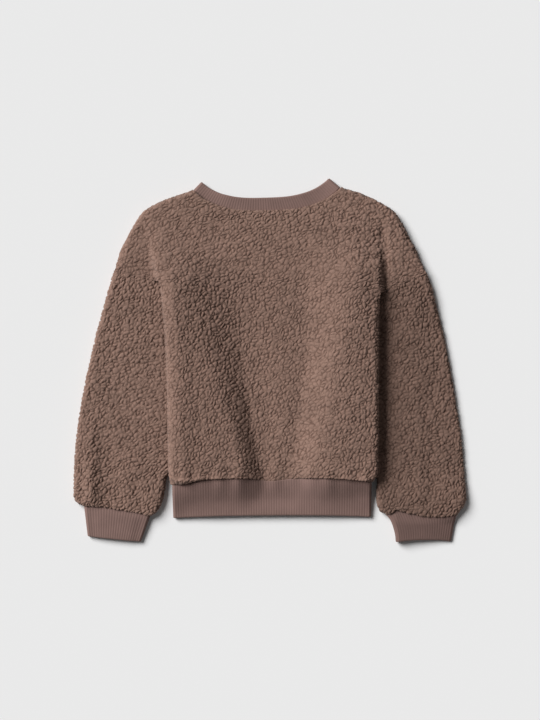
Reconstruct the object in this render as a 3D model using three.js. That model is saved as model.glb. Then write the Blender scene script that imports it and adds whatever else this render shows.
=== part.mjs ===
// A child's sherpa fleece pullover, laid flat with its back up.
// Its front panel lies on the surface, its back panel lies on the front one, and the sleeves are brought down
// beside the body, so that their inner edges lie under it. Rib bands finish the neck, the cuffs and the hem.
// Millimetres, +Z up, +Y towards the neck. The origin is the middle of the garment's outline, on the surface.
import * as THREE from "three";

// Driving sizes.
const SHERPA = 5.5; // sherpa cloth with its pile
const RIB = 3; // rib knit, folded double
const AIR = 2; // between two layers that lie on each other
const AIR_LIMITS = [0.8, 9]; // what the body's folds leave of it, and make of it
const SLOPE_AIR = 4; // more air where the body slopes, for each unit that the cloth is stretched in height
const LAYERS = 2 * SHERPA + AIR; // a flattened tube of sherpa
const LIFT = LAYERS + 0.6; // how high the body rides where a sleeve lies under it
const RIB_PITCH = 3.2; // from one rib to the next
const RIB_RAISE = 0.8; // how far a rib stands out
const SEAM_DIP = 1.8; // how far the pile rounds down at a sewn edge
const DIP_BESIDE = 0.36; // and one section further in
const BAND_AT_SEAM = 9.4; // a rib band's two layers where it is sewn on
const BAND_AT_EDGE = 6.8; // and at its free edge
const EDGE_OPENING = (1.5 * Math.PI) / 180; // leaves the gap of the side and shoulder seams

// The body's sections from hem to neck: both ends, the middle's y on the back and on the front, and whether
// the end is rolled round to meet the other panel (1) or sewn to a sleeve or band (0).
const BODY_SECTIONS = [
  { left: [-126, -157.2], right: [130, -154], back: -150.2, front: -150.2, rolled: 1 },
  { left: [-127, -153.5], right: [133.6, -151], back: -146.6, front: -146.6, rolled: 1 },
  { left: [-128, -147], right: [136, -145.5], back: -141.5, front: -141.5, rolled: 1 },
  { left: [-128.8, -132], right: [137, -130], back: -129.5, front: -129.5, rolled: 1 },
  { left: [-129.4, -105], right: [137.4, -104], back: -105, front: -105, rolled: 1 },
  { left: [-129.8, -72], right: [137.7, -74], back: -73, front: -73, rolled: 1 },
  { left: [-130.4, -38], right: [137.8, -42], back: -40, front: -40, rolled: 1 },
  { left: [-131.5, -4], right: [137.8, -10], back: -8, front: -8, rolled: 1 },
  { left: [-133.2, 30], right: [137.8, 22], back: 24, front: 22, rolled: 1 },
  { left: [-135.7, 60], right: [138, 50], back: 52, front: 52, rolled: 1 },
  { left: [-138, 84], right: [138.6, 71], back: 74, front: 74, rolled: 1 },
  { left: [-140, 100.2], right: [139.8, 86.1], back: 88, front: 88, rolled: 0 },
  { left: [-152, 103.07], right: [155, 91.8], back: 95, front: 95, rolled: 0 },
  { left: [-174, 108.3], right: [176, 101], back: 102, front: 102, rolled: 0 },
  { left: [-197.2, 113.81], right: [198.2, 110.75], back: 110, front: 108.5, rolled: 0 },
  { left: [-194.5, 123], right: [192, 123], back: 121, front: 113, rolled: 1 },
  { left: [-189.2, 139.7], right: [184.4, 142], back: 134, front: 117, rolled: 1 },
  { left: [-180.3, 157.5], right: [175.3, 158], back: 147, front: 121, rolled: 1 },
  { left: [-171.5, 173], right: [167, 175], back: 159, front: 125, rolled: 1 },
  { left: [-161, 188], right: [157, 188.5], back: 169, front: 128.5, rolled: 1 },
  { left: [-143, 199], right: [140, 200], back: 176.5, front: 132, rolled: 1 },
  { left: [-119, 208.5], right: [112, 212.5], back: 183, front: 135, rolled: 1 },
  { left: [-98.5, 214.8], right: [91, 218.4], back: 188.6, front: 138, rolled: 1 },
];
const WIDEST_STEP = 26; // sections further apart than this get one between them
const NECK_ROUND = { back: 3.1, front: 2.4 }; // how flat the middle of each neckline is
const BAND_ROUND = 2.5; // and the middle of a cuff's or the hem's bow
const BODY_ROUND = [74, 110]; // the y where the body's sections change from the hem's roundness to the neck's

// Where the body comes down from the sleeves to the surface, at a height y, and half the width of each slope.
const DESCENT = [
  { y: 160, left: -112, right: 70, leftHalf: 40, rightHalf: 58 },
  { y: 100, left: -84, right: 74, leftHalf: 42, rightHalf: 42 },
  { y: 36, left: -65, right: 71, leftHalf: 33, rightHalf: 28 },
  { y: -6, left: -56, right: 66, leftHalf: 25, rightHalf: 25 },
  { y: -48, left: -47, right: 61, leftHalf: 22, rightHalf: 25 },
  { y: -90, left: -38, right: 54, leftHalf: 19, rightHalf: 23 },
  { y: -133, left: -28, right: 47, leftHalf: 17, rightHalf: 22 },
  { y: -160, left: -24, right: 45, leftHalf: 17, rightHalf: 22 },
];
// The crease between the raised body and the shoulder, which lies on the surface, and its half width.
const CREASE = [
  { y: 172, left: -162, right: 142, half: 18 },
  { y: 140, left: -151, right: 144, half: 9 },
  { y: 110, left: -145, right: 145.5, half: 9 },
  { y: 84, left: -144, right: 146.5, half: 10 },
];
const SETTLE = { left: [101.5, 172], right: [88, 162] }; // from which y to which the raised body comes down
const HEM_LIFT = { from: -151, to: -156, keep: 0.72 }; // the body's lift that is left at the hem seam

// Soft folds of the body: a ridge is above 0 and a trough below it.
const BACK_FOLDS = [
  { from: [-122, 96], to: [-112, -146], half: 26, height: 5 },
  { from: [-84, 60], to: [-72, -140], half: 15, height: 1 },
  { from: [-40, 150], to: [30, 40], half: 26, height: 0.8 },
  { from: [18, 0], to: [14, -145], half: 15, height: 0.9 },
  { from: [100, 90], to: [90, -146], half: 34, height: 3.2 },
  { from: [122, -60], to: [96, -150], half: 16, height: -0.8 },
  { from: [-18, 20], to: [0, -140], half: 13, height: -1.1 },
];
const EDGE_RISE = 19; // how far in from the body's edge the folds reach their height
// Under the yoke the body stands higher than the shoulders: x of that slope at a height y, how high it is, its
// half width, from where to where across the body it rises, and its y from end to end with how soon it
// starts and stops.
const YOKE = {
  at: [
    { y: 168, left: -155, right: 139.5 },
    { y: 135, left: -146, right: 141.5 },
    { y: 100, left: -143.5, right: 142 },
  ],
  left: { height: 3.4, half: 9, rise: [0, -60] },
  right: { height: 4.4, half: 5.5, rise: [-80, 130] },
  ends: { from: 15, start: 90, to: 184, stop: 50 },
};
// Gathers of the hem, as waves in the height of the body just above its band.
const HEM_GATHER = { height: 0.7, length: 23, reach: 26 };
const FOLD_ENDS = 0.3; // the share of a fold's length over which it rises

// The sleeves from armhole to cuff: the outer fold, the inner fold and the thickness there.
const SLEEVES = {
  left: [
    { outer: [-198.1, 113.6], inner: [-108, 92.1], thick: 13 },
    { outer: [-203, 97], inner: [-101, 72], thick: 13 },
    { outer: [-211.5, 66], inner: [-91, 44], thick: 13 },
    { outer: [-220.5, 34], inner: [-84, 12], thick: 13 },
    { outer: [-228, 2], inner: [-79.5, -20], thick: 13 },
    { outer: [-235, -30], inner: [-77.5, -52], thick: 13 },
    { outer: [-241, -62], inner: [-80, -84], thick: 13 },
    { outer: [-245.5, -95], inner: [-90, -108], thick: 13 },
    { outer: [-248, -125], inner: [-108, -130], thick: 13 },
    { outer: [-249, -150], inner: [-130.5, -149], thick: 13 },
    { outer: [-249.2, -165], inner: [-133, -166], thick: 13 },
    { outer: [-248.4, -176], inner: [-138, -184], thick: 12.8 },
    { outer: [-243.5, -182], inner: [-144.5, -194], thick: 12.2 },
    { outer: [-238.5, -184.6], inner: [-150, -197.4], thick: 11.4 },
  ],
  right: [
    { outer: [199, 110.6], inner: [108, 70.8], thick: 13 },
    { outer: [204.5, 95], inner: [103, 52], thick: 13 },
    { outer: [211.5, 68], inner: [97, 26], thick: 13 },
    { outer: [219.5, 36], inner: [91, 0], thick: 13 },
    { outer: [226, 4], inner: [86, -26], thick: 13 },
    { outer: [231.5, -26], inner: [84, -52], thick: 13 },
    { outer: [237, -60], inner: [86, -80], thick: 13 },
    { outer: [242, -92], inner: [96, -106], thick: 13 },
    { outer: [245.3, -124], inner: [113, -129], thick: 13 },
    { outer: [247.5, -152], inner: [134.6, -150], thick: 13 },
    { outer: [248.9, -168], inner: [134.6, -167], thick: 13 },
    { outer: [248, -180], inner: [137, -182], thick: 12.8 },
    { outer: [243, -187], inner: [145, -189.5], thick: 12.2 },
    { outer: [238, -190.6], inner: [151.5, -191.6], thick: 11.4 },
  ],
};
// How many stations the cuff's bow reaches up the sleeve, and the share of the folds left at the cuff.
const CUFF_GATHER = { stations: 4, foldLeft: 0.4 };
const SLEEVE_FOLD_LIMITS = [-1.2, 1.4]; // how deep and how high the folds' sum may be
// Folds of the sleeves' upper layer, in the same form as the body's.
const SLEEVE_FOLDS = {
  left: [
    { from: [-226, -85], to: [-212, -178], half: 9, height: -1.5 },
    { from: [-196, -110], to: [-186, -186], half: 12, height: 1.2 },
    { from: [-172, -150], to: [-166, -190], half: 8, height: -1.0 },
    { from: [-190, 84], to: [-160, 20], half: 16, height: 0.9 },
    { from: [-226, 0], to: [-180, -60], half: 14, height: -0.8 },
  ],
  right: [
    { from: [166, -20], to: [158, -150], half: 12, height: 1.3 },
    { from: [200, -120], to: [206, -188], half: 10, height: -1.1 },
    { from: [226, -90], to: [226, -180], half: 12, height: 1.0 },
    { from: [192, 92], to: [170, 20], half: 14, height: 0.9 },
    { from: [222, 10], to: [196, -70], half: 14, height: -0.9 },
  ],
};

// The cuffs: the ends of the sewn edge and of the free edge, and how far each bows up in its middle.
const CUFFS = {
  left: {
    sewn: [[-236, -185.5], [-151.5, -197.7]],
    free: [[-231.5, -223.6], [-163.5, -230.6]],
    bow: [2.6, -0.4],
  },
  right: {
    sewn: [[236.6, -191.1], [152.5, -192.1]],
    free: [[230, -230], [159, -231]],
    bow: [-1.6, 2.2],
  },
};
// The hem band, in the same form.
const HEM = { sewn: [[-124, -158], [128.8, -154.7]], free: [[-123, -200.6], [128.5, -199]], bow: [5.4, 2.6] };
// The neck band: the back of its ring is shallow, the front deep.
const NECK = {
  sewn: [[-97.6, 215.4], [89.4, 219]],
  free: [[-87, 226.4], [75, 231]],
  back: [189.1, 205.8], // y of its middle at the sewn and the free edge
  front: [138.5, 157.5],
  outward: [[-0.72, 0.69], [0.7, 0.71]], // the way its folds face
};

const within = (value, [low, high]) => Math.min(high, Math.max(low, value));
const clamp01 = (t) => within(t, [0, 1]);
const smooth = (t) => clamp01(t) ** 2 * (3 - 2 * clamp01(t));
const mix = (a, b, t) => a + (b - a) * t;
const mixPlan = (a, b, t) => [mix(a[0], b[0], t), mix(a[1], b[1], t)];
const dome = (t, power) => 1 - Math.abs(2 * t - 1) ** power;

// A column of a table whose rows go down in y, read between its rows.
function readAt(table, y, column) {
  const below = table.findIndex((row) => row.y <= y);
  if (below === 0) return table[0][column];
  if (below < 0) return table[table.length - 1][column];
  const upper = table[below - 1];
  const lower = table[below];
  return mix(lower[column], upper[column], (y - lower.y) / (upper.y - lower.y));
}

// The height that a set of soft folds adds at a place.
function foldsAt(folds, x, y) {
  let total = 0;
  for (const { from, to, half, height } of folds) {
    const along = [to[0] - from[0], to[1] - from[1]];
    const length = Math.hypot(...along);
    const t = ((x - from[0]) * along[0] + (y - from[1]) * along[1]) / length ** 2;
    const off = ((x - from[0]) * along[1] - (y - from[1]) * along[0]) / length;
    const ends = smooth(t / FOLD_ENDS + 0.5) * smooth((1 - t) / FOLD_ENDS + 0.5);
    total += height * ends * Math.exp(-((off / half) ** 2));
  }
  return total;
}

// How high the body's front panel is above the surface: 0 in the middle, LIFT over the sleeves.
function bodyLift(x, y) {
  const side = x < 0 ? "left" : "right";
  const out = x < 0 ? -1 : 1;
  const slopeHalf = readAt(DESCENT, y, `${side}Half`);
  const descent = smooth((out * (x - readAt(DESCENT, y, side)) + slopeHalf) / (2 * slopeHalf));
  const half = readAt(CREASE, y, "half");
  const onWing = smooth((out * (x - readAt(CREASE, y, side)) + half) / (2 * half));
  const [starts, ends] = SETTLE[side];
  const settled = smooth((y - starts) / (ends - starts));
  const hem = mix(1, HEM_LIFT.keep, smooth((y - HEM_LIFT.from) / (HEM_LIFT.to - HEM_LIFT.from)));
  return LIFT * descent * (1 - settled) * hem * (y > readAt(CREASE, 0, "y") ? 1 - onWing : 1);
}

// On a slope, a cloth's height is more than its thickness: how much more, up to STEEPEST.
const STEEPEST = 1.5;
const SLOPE_STEP = 3; // how far to each side of a place its slope is measured
function slopeStretch(x, y) {
  const step = SLOPE_STEP;
  const across = (bodyLift(x + step, y) - bodyLift(x - step, y)) / (2 * step);
  const down = (bodyLift(x, y + step) - bodyLift(x, y - step)) / (2 * step);
  return Math.min(STEEPEST, Math.hypot(1, across, down));
}

// How much higher than the shoulders the body stands under the yoke.
function yokeAt(x, y) {
  let total = 0;
  for (const side of ["left", "right"]) {
    const { height, half, rise } = YOKE[side];
    const out = side === "left" ? -1 : 1;
    const inside = smooth((half - out * (x - readAt(YOKE.at, y, side))) / (2 * half));
    total += height * inside * smooth((x - rise[0]) / (rise[1] - rise[0]));
  }
  const { from, start, to, stop } = YOKE.ends;
  return total * smooth((y - from) / start) * smooth((to - y) / stop);
}

// The air between the body's two panels, with the back's folds and the hem's gathers in it.
function bodyAir(x, y, fromEdge) {
  const hemY = BODY_SECTIONS[0].back;
  const fade = 1 - smooth((y - hemY) / HEM_GATHER.reach);
  const gather = HEM_GATHER.height * fade * Math.sin((2 * Math.PI * x) / HEM_GATHER.length);
  const rise = 1 - (1 - clamp01(fromEdge / EDGE_RISE)) ** 2;
  return within(AIR + rise * (foldsAt(BACK_FOLDS, x, y) + gather + yokeAt(x, y)), AIR_LIMITS);
}

// A closed mesh from its points and faces, turned so that it faces out.
function solid(name, points, faces, material) {
  let volume = 0;
  for (const [a, b, c] of faces) volume += points[a].dot(points[b].clone().cross(points[c]));
  const index = faces.flatMap(([a, b, c]) => (volume < 0 ? [a, c, b] : [a, b, c]));
  const geometry = new THREE.BufferGeometry();
  geometry.setAttribute("position", new THREE.Float32BufferAttribute(points.flatMap((p) => p.toArray()), 3));
  geometry.setIndex(index);
  geometry.computeVertexNormals();
  const mesh = new THREE.Mesh(geometry, material);
  mesh.name = name;
  return mesh;
}

// Two triangles for each four-sided cell of a grid, split along the diagonal that is shorter and more level.
// first is the number of the grid's first point; a closed grid joins its last column to its first.
const LEVEL_WEIGHT = 5;
const diagonal = (a, b) => Math.hypot(a.x - b.x, a.y - b.y, LEVEL_WEIGHT * (a.z - b.z));
function gridFaces(grid, first, closed, flipped) {
  const faces = [];
  const columns = grid[0].length;
  const last = closed ? columns : columns - 1;
  for (let i = 0; i < grid.length - 1; i++)
    for (let j = 0; j < last; j++) {
      const k = (j + 1) % columns;
      const [a, b] = [first + i * columns + j, first + i * columns + k];
      const [c, d] = [b + columns, a + columns];
      const alongAC = diagonal(grid[i][j], grid[i + 1][k]) <= diagonal(grid[i][k], grid[i + 1][j]);
      const pair = alongAC ? [[a, b, c], [a, c, d]] : [[a, b, d], [b, c, d]];
      faces.push(...pair.map(([p, q, r]) => (flipped ? [p, r, q] : [p, q, r])));
    }
  return faces;
}

// A sheet with thickness, between a grid of outer points and a grid of inner points.
function sheet(name, outer, inner, material) {
  const rows = outer.length;
  const columns = outer[0].length;
  const points = [...outer.flat(), ...inner.flat()];
  const out = (i, j) => i * columns + j;
  const into = (i, j) => rows * columns + out(i, j);
  const faces = [...gridFaces(outer, 0, false, false), ...gridFaces(inner, rows * columns, false, true)];
  const rim = [];
  for (let j = 0; j < columns; j++) rim.push([0, j]);
  for (let i = 1; i < rows; i++) rim.push([i, columns - 1]);
  for (let j = columns - 2; j >= 0; j--) rim.push([rows - 1, j]);
  for (let i = rows - 2; i > 0; i--) rim.push([i, 0]);
  rim.forEach((here, n) => {
    const next = rim[(n + 1) % rim.length];
    faces.push([out(...here), into(...here), into(...next)], [out(...here), into(...next), out(...next)]);
  });
  return solid(name, points, faces, material);
}

// A tube with thickness: outer rings, and inner rings that may have fewer points. A ring's share says how far
// round each of its points is, so that the two can be joined at the tube's ends.
function tube(name, outer, inner, outerShare, innerShare, material) {
  const rings = outer.length;
  const many = outer[0].length;
  const few = inner[0].length;
  const points = [...outer.flat(), ...inner.flat()];
  const out = (i, j) => i * many + (j % many);
  const into = (i, j) => rings * many + i * few + (j % few);
  const faces = [...gridFaces(outer, 0, true, false), ...gridFaces(inner, rings * many, true, true)];
  for (const [ring, flipped] of [[0, false], [rings - 1, true]]) {
    let [j, k] = [0, 0];
    while (j < many || k < few) {
      const nextOuter = j < many ? outerShare(j + 1) : Infinity;
      const nextInner = k < few ? innerShare(k + 1) : Infinity;
      const face =
        nextOuter <= nextInner
          ? [out(ring, j), into(ring, k), out(ring, j + 1)]
          : [out(ring, j), into(ring, k), into(ring, k + 1)];
      if (nextOuter <= nextInner) j++;
      else k++;
      faces.push(flipped ? [face[0], face[2], face[1]] : face);
    }
  }
  return solid(name, points, faces, material);
}

const BODY_ROWS = BODY_SECTIONS.flatMap((row, number) => {
  const next = BODY_SECTIONS[number + 1];
  if (!next || next.back - row.back <= WIDEST_STEP) return [row];
  const middle = { back: mix(row.back, next.back, 0.5), front: mix(row.front, next.front, 0.5) };
  const ends = { left: mixPlan(row.left, next.left, 0.5), right: mixPlan(row.right, next.right, 0.5) };
  return [row, { ...row, ...middle, ...ends }];
});

// The places across a section of the body, as distances from its nearer end, that the rolled edge needs.
const ROLL = LAYERS / 2;
const ROLL_ANGLES = [EDGE_OPENING, 0.6, 1.1, Math.PI / 2];
const FLAT_COLUMNS = 27;
const CROWDED = 0.35; // how much closer the columns are near the ends

// One panel of the body. Its face is the side with the pile: up on the back, down on the front.
function bodyPanel(name, which, material) {
  const up = which === "back" ? 1 : -1;
  const face = [];
  const inside = [];
  for (const [number, { left, right, rolled, ...middle }] of BODY_ROWS.entries()) {
    const length = right[0] - left[0];
    const sag = middle[which] - (left[1] + right[1]) / 2;
    const aboveArmpit = smooth((middle.back - BODY_ROUND[0]) / (BODY_ROUND[1] - BODY_ROUND[0]));
    const roundness = mix(BAND_ROUND, NECK_ROUND[which], aboveArmpit);
    const place = (distance) => {
      const t = distance / length;
      const [x, y] = mixPlan(left, right, t);
      return [x, y + sag * dome(t, roundness)];
    };
    const sewnRow = number === 0 || number === BODY_ROWS.length - 1;
    const beside = number === 1 || number === BODY_ROWS.length - 2;
    const faceRow = [];
    const insideRow = [];
    const add = (distance, angle, fromLeft) => {
      const atEdge = angle !== null;
      const out = atEdge ? ROLL * (1 - Math.cos(angle)) : distance;
      const inner = atEdge ? mix(out, ROLL - (ROLL - SHERPA) * Math.cos(angle), rolled) : distance;
      const [x, y] = place(fromLeft ? out : length - out);
      const [xi, yi] = place(fromLeft ? inner : length - inner);
      const base = bodyLift(x, y);
      const stretch = atEdge && rolled ? 1 : slopeStretch(x, y);
      const air = stretch * bodyAir(x, y, out) + SLOPE_AIR * (stretch - 1);
      const top = which === "back" ? base + 2 * SHERPA * stretch + air : base;
      const drop = atEdge ? rolled * ROLL * (1 - Math.sin(angle)) : 0;
      const innerDrop = atEdge ? rolled * (ROLL - SHERPA) * (1 - Math.sin(angle)) : 0;
      const endDip = atEdge ? (1 - rolled) * SEAM_DIP * Math.cos(angle) ** 2 : 0;
      const rowDip = sewnRow ? SEAM_DIP : beside ? DIP_BESIDE : 0;
      const dip = Math.min(SEAM_DIP, endDip + rowDip) * (1 - (atEdge ? rolled * Math.cos(angle) : 0));
      faceRow.push(new THREE.Vector3(x, y, top - up * (drop + dip)));
      insideRow.push(new THREE.Vector3(xi, yi, top - up * (SHERPA * stretch + innerDrop)));
    };
    ROLL_ANGLES.forEach((angle) => add(0, angle, true));
    for (let k = 1; k < FLAT_COLUMNS; k++) {
      const even = k / FLAT_COLUMNS;
      const share = even - (CROWDED * Math.sin(2 * Math.PI * even)) / (2 * Math.PI);
      add(ROLL + (length - 2 * ROLL) * share, null, true);
    }
    [...ROLL_ANGLES].reverse().forEach((angle) => add(0, angle, false));
    face.push(faceRow);
    inside.push(insideRow);
  }
  return sheet(name, face, inside, material);
}

// The points round a flattened tube: over its upper layer, round one fold, back under its lower layer and
// round the other. upper and lower give a place in plan, thick is the tube's height, and inset is how far
// inside the outer face the points lie.
const FOLD_SHARE = 5; // a fold's roundness takes up one part in this many of each end of the layers
function flattened({ upper, lower, outward, low, thick, foldsUp, inset, flat, bend }) {
  const points = [];
  const half = thick / 2;
  const edge = (end, angle) => {
    const [x, y] = mixPlan(upper(end), lower(end), 0.5);
    const reach = (half - inset) * Math.cos(angle) - half;
    const side = outward[end];
    const z = low(x, y) + half + (half - inset) * Math.sin(angle);
    return new THREE.Vector3(x + side[0] * reach, y + side[1] * reach, z);
  };
  const start = (end, path, t) => {
    const [x, y] = path(t);
    const side = outward[end];
    const share = Math.max(0, 1 - FOLD_SHARE * (end === 0 ? t : 1 - t));
    return [x - side[0] * half * share, y - side[1] * half * share];
  };
  const between = (path, t) => {
    const [ax, ay] = start(0, path, t);
    const [x, y] = path(t);
    const [bx, by] = start(1, path, t);
    return [ax + bx - x, ay + by - y];
  };
  for (let k = 0; k <= flat; k++) {
    const [x, y] = between(upper, k / flat);
    const ends = smooth(4 * Math.min(k, flat - k) / flat);
    points.push(new THREE.Vector3(x, y, low(x, y) + thick - inset + ends * foldsUp(x, y)));
  }
  for (let k = 1; k < bend; k++) points.push(edge(1, Math.PI / 2 - (Math.PI * k) / bend));
  for (let k = flat; k >= 0; k--) {
    const [x, y] = between(lower, k / flat);
    points.push(new THREE.Vector3(x, y, low(x, y) + inset));
  }
  for (let k = bend - 1; k > 0; k--) points.push(edge(0, Math.PI / 2 - (Math.PI * k) / bend));
  return points;
}

const unit = (a, b) => {
  const length = Math.hypot(b[0] - a[0], b[1] - a[1]);
  return [(b[0] - a[0]) / length, (b[1] - a[1]) / length];
};
const nothing = () => 0;

// A sleeve: a flattened tube of sherpa from armhole to cuff.
function sleeve(name, side, material) {
  const [flat, bend] = [9, 4];
  const stations = SLEEVES[side];
  const lastStation = stations.length - 1;
  const rings = [0, SHERPA].map((inset) =>
    stations.map(({ outer, inner, thick }, number) => {
      const nearCuff = clamp01(1 - (lastStation - number) / CUFF_GATHER.stations);
      const path = (t) => {
        const [x, y] = mixPlan(outer, inner, t);
        return [x, y + nearCuff * CUFFS[side].bow[0] * dome(t, BAND_ROUND)];
      };
      const left = number === lastStation ? CUFF_GATHER.foldLeft : 1;
      const foldsUp = (x, y) => within(left * foldsAt(SLEEVE_FOLDS[side], x, y), SLEEVE_FOLD_LIMITS);
      const outward = [unit(inner, outer), unit(outer, inner)];
      const tubeHere = { upper: path, lower: path, outward, low: nothing, thick };
      return flattened({ ...tubeHere, foldsUp, inset, flat, bend });
    }),
  );
  const share = (j) => j;
  return tube(name, rings[0], rings[1], share, share, material);
}

// Points spaced evenly along an open line of points.
function spaced(line, count) {
  const along = [0];
  for (let i = 1; i < line.length; i++) along.push(along[i - 1] + line[i].distanceTo(line[i - 1]));
  return Array.from({ length: count }, (_, n) => {
    const at = (along.at(-1) * n) / (count - 1);
    const i = Math.min(line.length - 2, Math.max(0, along.findIndex((a) => a > at) - 1));
    const k = at >= along.at(-1) ? line.length - 2 : i;
    return line[k].clone().lerp(line[k + 1], clamp01((at - along[k]) / (along[k + 1] - along[k])));
  });
}

// A rib band: a flattened tube of rib knit. Its ribs are raised on the side that shows; it is flat beneath.
const BAND_STEPS = [0, 0.08, 0.92, 1]; // its rings, as shares of the way from the sewn edge to the free one
const BAND_POINTS = { flat: 48, bend: 6, leastDown: 8, ribsToDown: 3, ribsToInner: 2 };
const EDGE_RAISE = 0.5; // the share of a rib's height that is left at the band's edges
function ribBand(name, { paths, outward, lowAt, material }) {
  const { flat, bend, leastDown, ribsToDown, ribsToInner } = BAND_POINTS;
  const ringAt = (s, inset) => {
    const { upper, lower } = paths(s);
    const low = (x, y) => lowAt(x, y, s);
    const thick = mix(BAND_AT_SEAM, BAND_AT_EDGE, s);
    return flattened({ upper, lower, outward, low, thick, foldsUp: nothing, inset, flat, bend });
  };
  const halfBend = bend / 2;
  const lastShown = flat + 1 + halfBend;
  const shown = (ring) => [...ring.slice(-halfBend), ...ring.slice(0, lastShown)];
  const hidden = (ring) => ring.slice(lastShown, -halfBend);
  const length = (line) => line.slice(1).reduce((sum, p, i) => sum + p.distanceTo(line[i]), 0);
  const ribs = Math.round(length(shown(ringAt(0.5, 0))) / RIB_PITCH);
  const upCount = 2 * ribs + 1;
  const downCount = Math.max(leastDown, Math.round(ribs / ribsToDown));
  const outer = BAND_STEPS.map((s) => {
    const ring = ringAt(s, RIB_RAISE / 2);
    const up = spaced(shown(ring), upCount);
    const centre = up.reduce((sum, p) => sum.add(p), new THREE.Vector3()).divideScalar(upCount);
    const raise = s === 0 || s === 1 ? EDGE_RAISE : 1;
    const raised = up.map((p, n) => {
      const ahead = up[Math.min(upCount - 1, n + 1)].clone().sub(up[Math.max(0, n - 1)]);
      const away = new THREE.Vector3(ahead.y, -ahead.x, 0).multiplyScalar(Math.abs(ahead.z));
      const normal = new THREE.Vector3(0, 0, Math.hypot(ahead.x, ahead.y) * ahead.length());
      if (away.dot(p.clone().sub(centre)) < 0) away.negate();
      normal.add(away).normalize();
      return p.clone().addScaledVector(normal, (n % 2 ? 1 : -1) * (RIB_RAISE / 2) * raise);
    });
    const down = spaced([up.at(-1), ...hidden(ringAt(s, 0)), up[0]], downCount + 2).slice(1, -1);
    return [...raised, ...down];
  });
  const innerUp = Math.max(leastDown, Math.round(ribs / ribsToInner));
  const inner = BAND_STEPS.map((s) => {
    const ring = ringAt(s, RIB);
    return [...spaced(shown(ring), innerUp), ...spaced(hidden(ring), downCount)];
  });
  const outerShare = (j) => (j <= upCount ? j / (upCount - 1) : 1 + (j - upCount + 1) / (downCount + 1));
  const innerShare = (k) => (k <= innerUp ? k / (innerUp - 1) : 1 + (k - innerUp + 0.5) / downCount);
  return tube(name, outer, inner, outerShare, innerShare, material);
}

// A straight band, such as a cuff or the hem: both layers lie along the same line.
function straightBand(name, { sewn, free, bow }, lowAt, material) {
  const paths = (s) => {
    const a = mixPlan(sewn[0], free[0], s);
    const b = mixPlan(sewn[1], free[1], s);
    const rise = mix(bow[0], bow[1], s);
    const path = (t) => {
      const [x, y] = mixPlan(a, b, t);
      return [x, y + rise * dome(t, BAND_ROUND)];
    };
    return { upper: path, lower: path };
  };
  const outward = [unit(sewn[1], sewn[0]), unit(sewn[0], sewn[1])];
  return ribBand(name, { paths, outward, lowAt, material });
}

// The neck band: its upper layer follows the back neckline, its lower layer the front one.
function neckBand(name, material) {
  const paths = (s) => {
    const a = mixPlan(NECK.sewn[0], NECK.free[0], s);
    const b = mixPlan(NECK.sewn[1], NECK.free[1], s);
    const along = (which) => (t) => {
      const [x, y] = mixPlan(a, b, t);
      const sag = mix(...NECK[which], s) - (a[1] + b[1]) / 2;
      return [x, y + sag * dome(t, NECK_ROUND[which])];
    };
    return { upper: along("back"), lower: along("front") };
  };
  return ribBand(name, { paths, outward: NECK.outward, lowAt: nothing, material });
}

const sherpa = () => new THREE.MeshStandardMaterial({ color: 0x86695c, roughness: 1, metalness: 0 });
const rib = () => new THREE.MeshStandardMaterial({ color: 0x775f56, roughness: 0.95, metalness: 0 });

const pullover = new THREE.Group();
pullover.name = "sherpa_pullover";
const underHem = BODY_SECTIONS[0].back - RIB; // the hem band rides as high as the body does here
const hemLow = (x, y, s) => bodyLift(x, underHem) * (1 - smooth(s));
pullover.add(
  bodyPanel("back_panel", "back", sherpa()),
  bodyPanel("front_panel", "front", sherpa()),
  sleeve("sleeve_left", "left", sherpa()),
  sleeve("sleeve_right", "right", sherpa()),
  neckBand("neck_rib", rib()),
  straightBand("hem_rib", HEM, hemLow, rib()),
  straightBand("cuff_left", CUFFS.left, nothing, rib()),
  straightBand("cuff_right", CUFFS.right, nothing, rib()),
);

export default pullover;
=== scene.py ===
# %% [markdown]
# # A child's sherpa fleece pullover, laid flat with its back up
#
# The pullover is eight pieces of cloth: a back and a front panel and two sleeves of sherpa, and four bands of rib
# knit, at the neck, the hem and the cuffs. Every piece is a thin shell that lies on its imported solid. Its shape is
# worked out from the same sizes as the solid, on a finer grid, so that the curls and ribs are real relief.

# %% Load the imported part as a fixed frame
import math

import bpy
import numpy as np
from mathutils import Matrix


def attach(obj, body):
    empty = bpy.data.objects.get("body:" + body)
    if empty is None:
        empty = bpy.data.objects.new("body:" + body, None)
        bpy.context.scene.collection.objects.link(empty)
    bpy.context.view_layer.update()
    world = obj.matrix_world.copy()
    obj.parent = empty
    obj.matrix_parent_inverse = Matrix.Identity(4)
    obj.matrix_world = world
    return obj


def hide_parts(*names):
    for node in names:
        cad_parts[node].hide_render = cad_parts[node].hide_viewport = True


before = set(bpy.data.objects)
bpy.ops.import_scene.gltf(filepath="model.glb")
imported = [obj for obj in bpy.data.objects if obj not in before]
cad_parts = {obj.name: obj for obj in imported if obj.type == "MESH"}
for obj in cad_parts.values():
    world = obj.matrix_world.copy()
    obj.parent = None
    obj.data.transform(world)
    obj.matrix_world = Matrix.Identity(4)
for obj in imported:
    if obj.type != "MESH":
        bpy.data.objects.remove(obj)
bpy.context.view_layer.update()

scene = bpy.context.scene

# %% [markdown]
# ## The camera
#
# The garment was photographed from straight above. A long lens, high up, keeps its raised parts from looking larger
# than the flat ones. The lens is worked out from how much of the floor the picture takes in.

# %% The camera, straight above the garment
CAMERA_HEIGHT = 4.0
FLOOR_IN_VIEW = 0.9144  # metres of floor from the top of the picture to its bottom
SENSOR = 36.0

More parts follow.
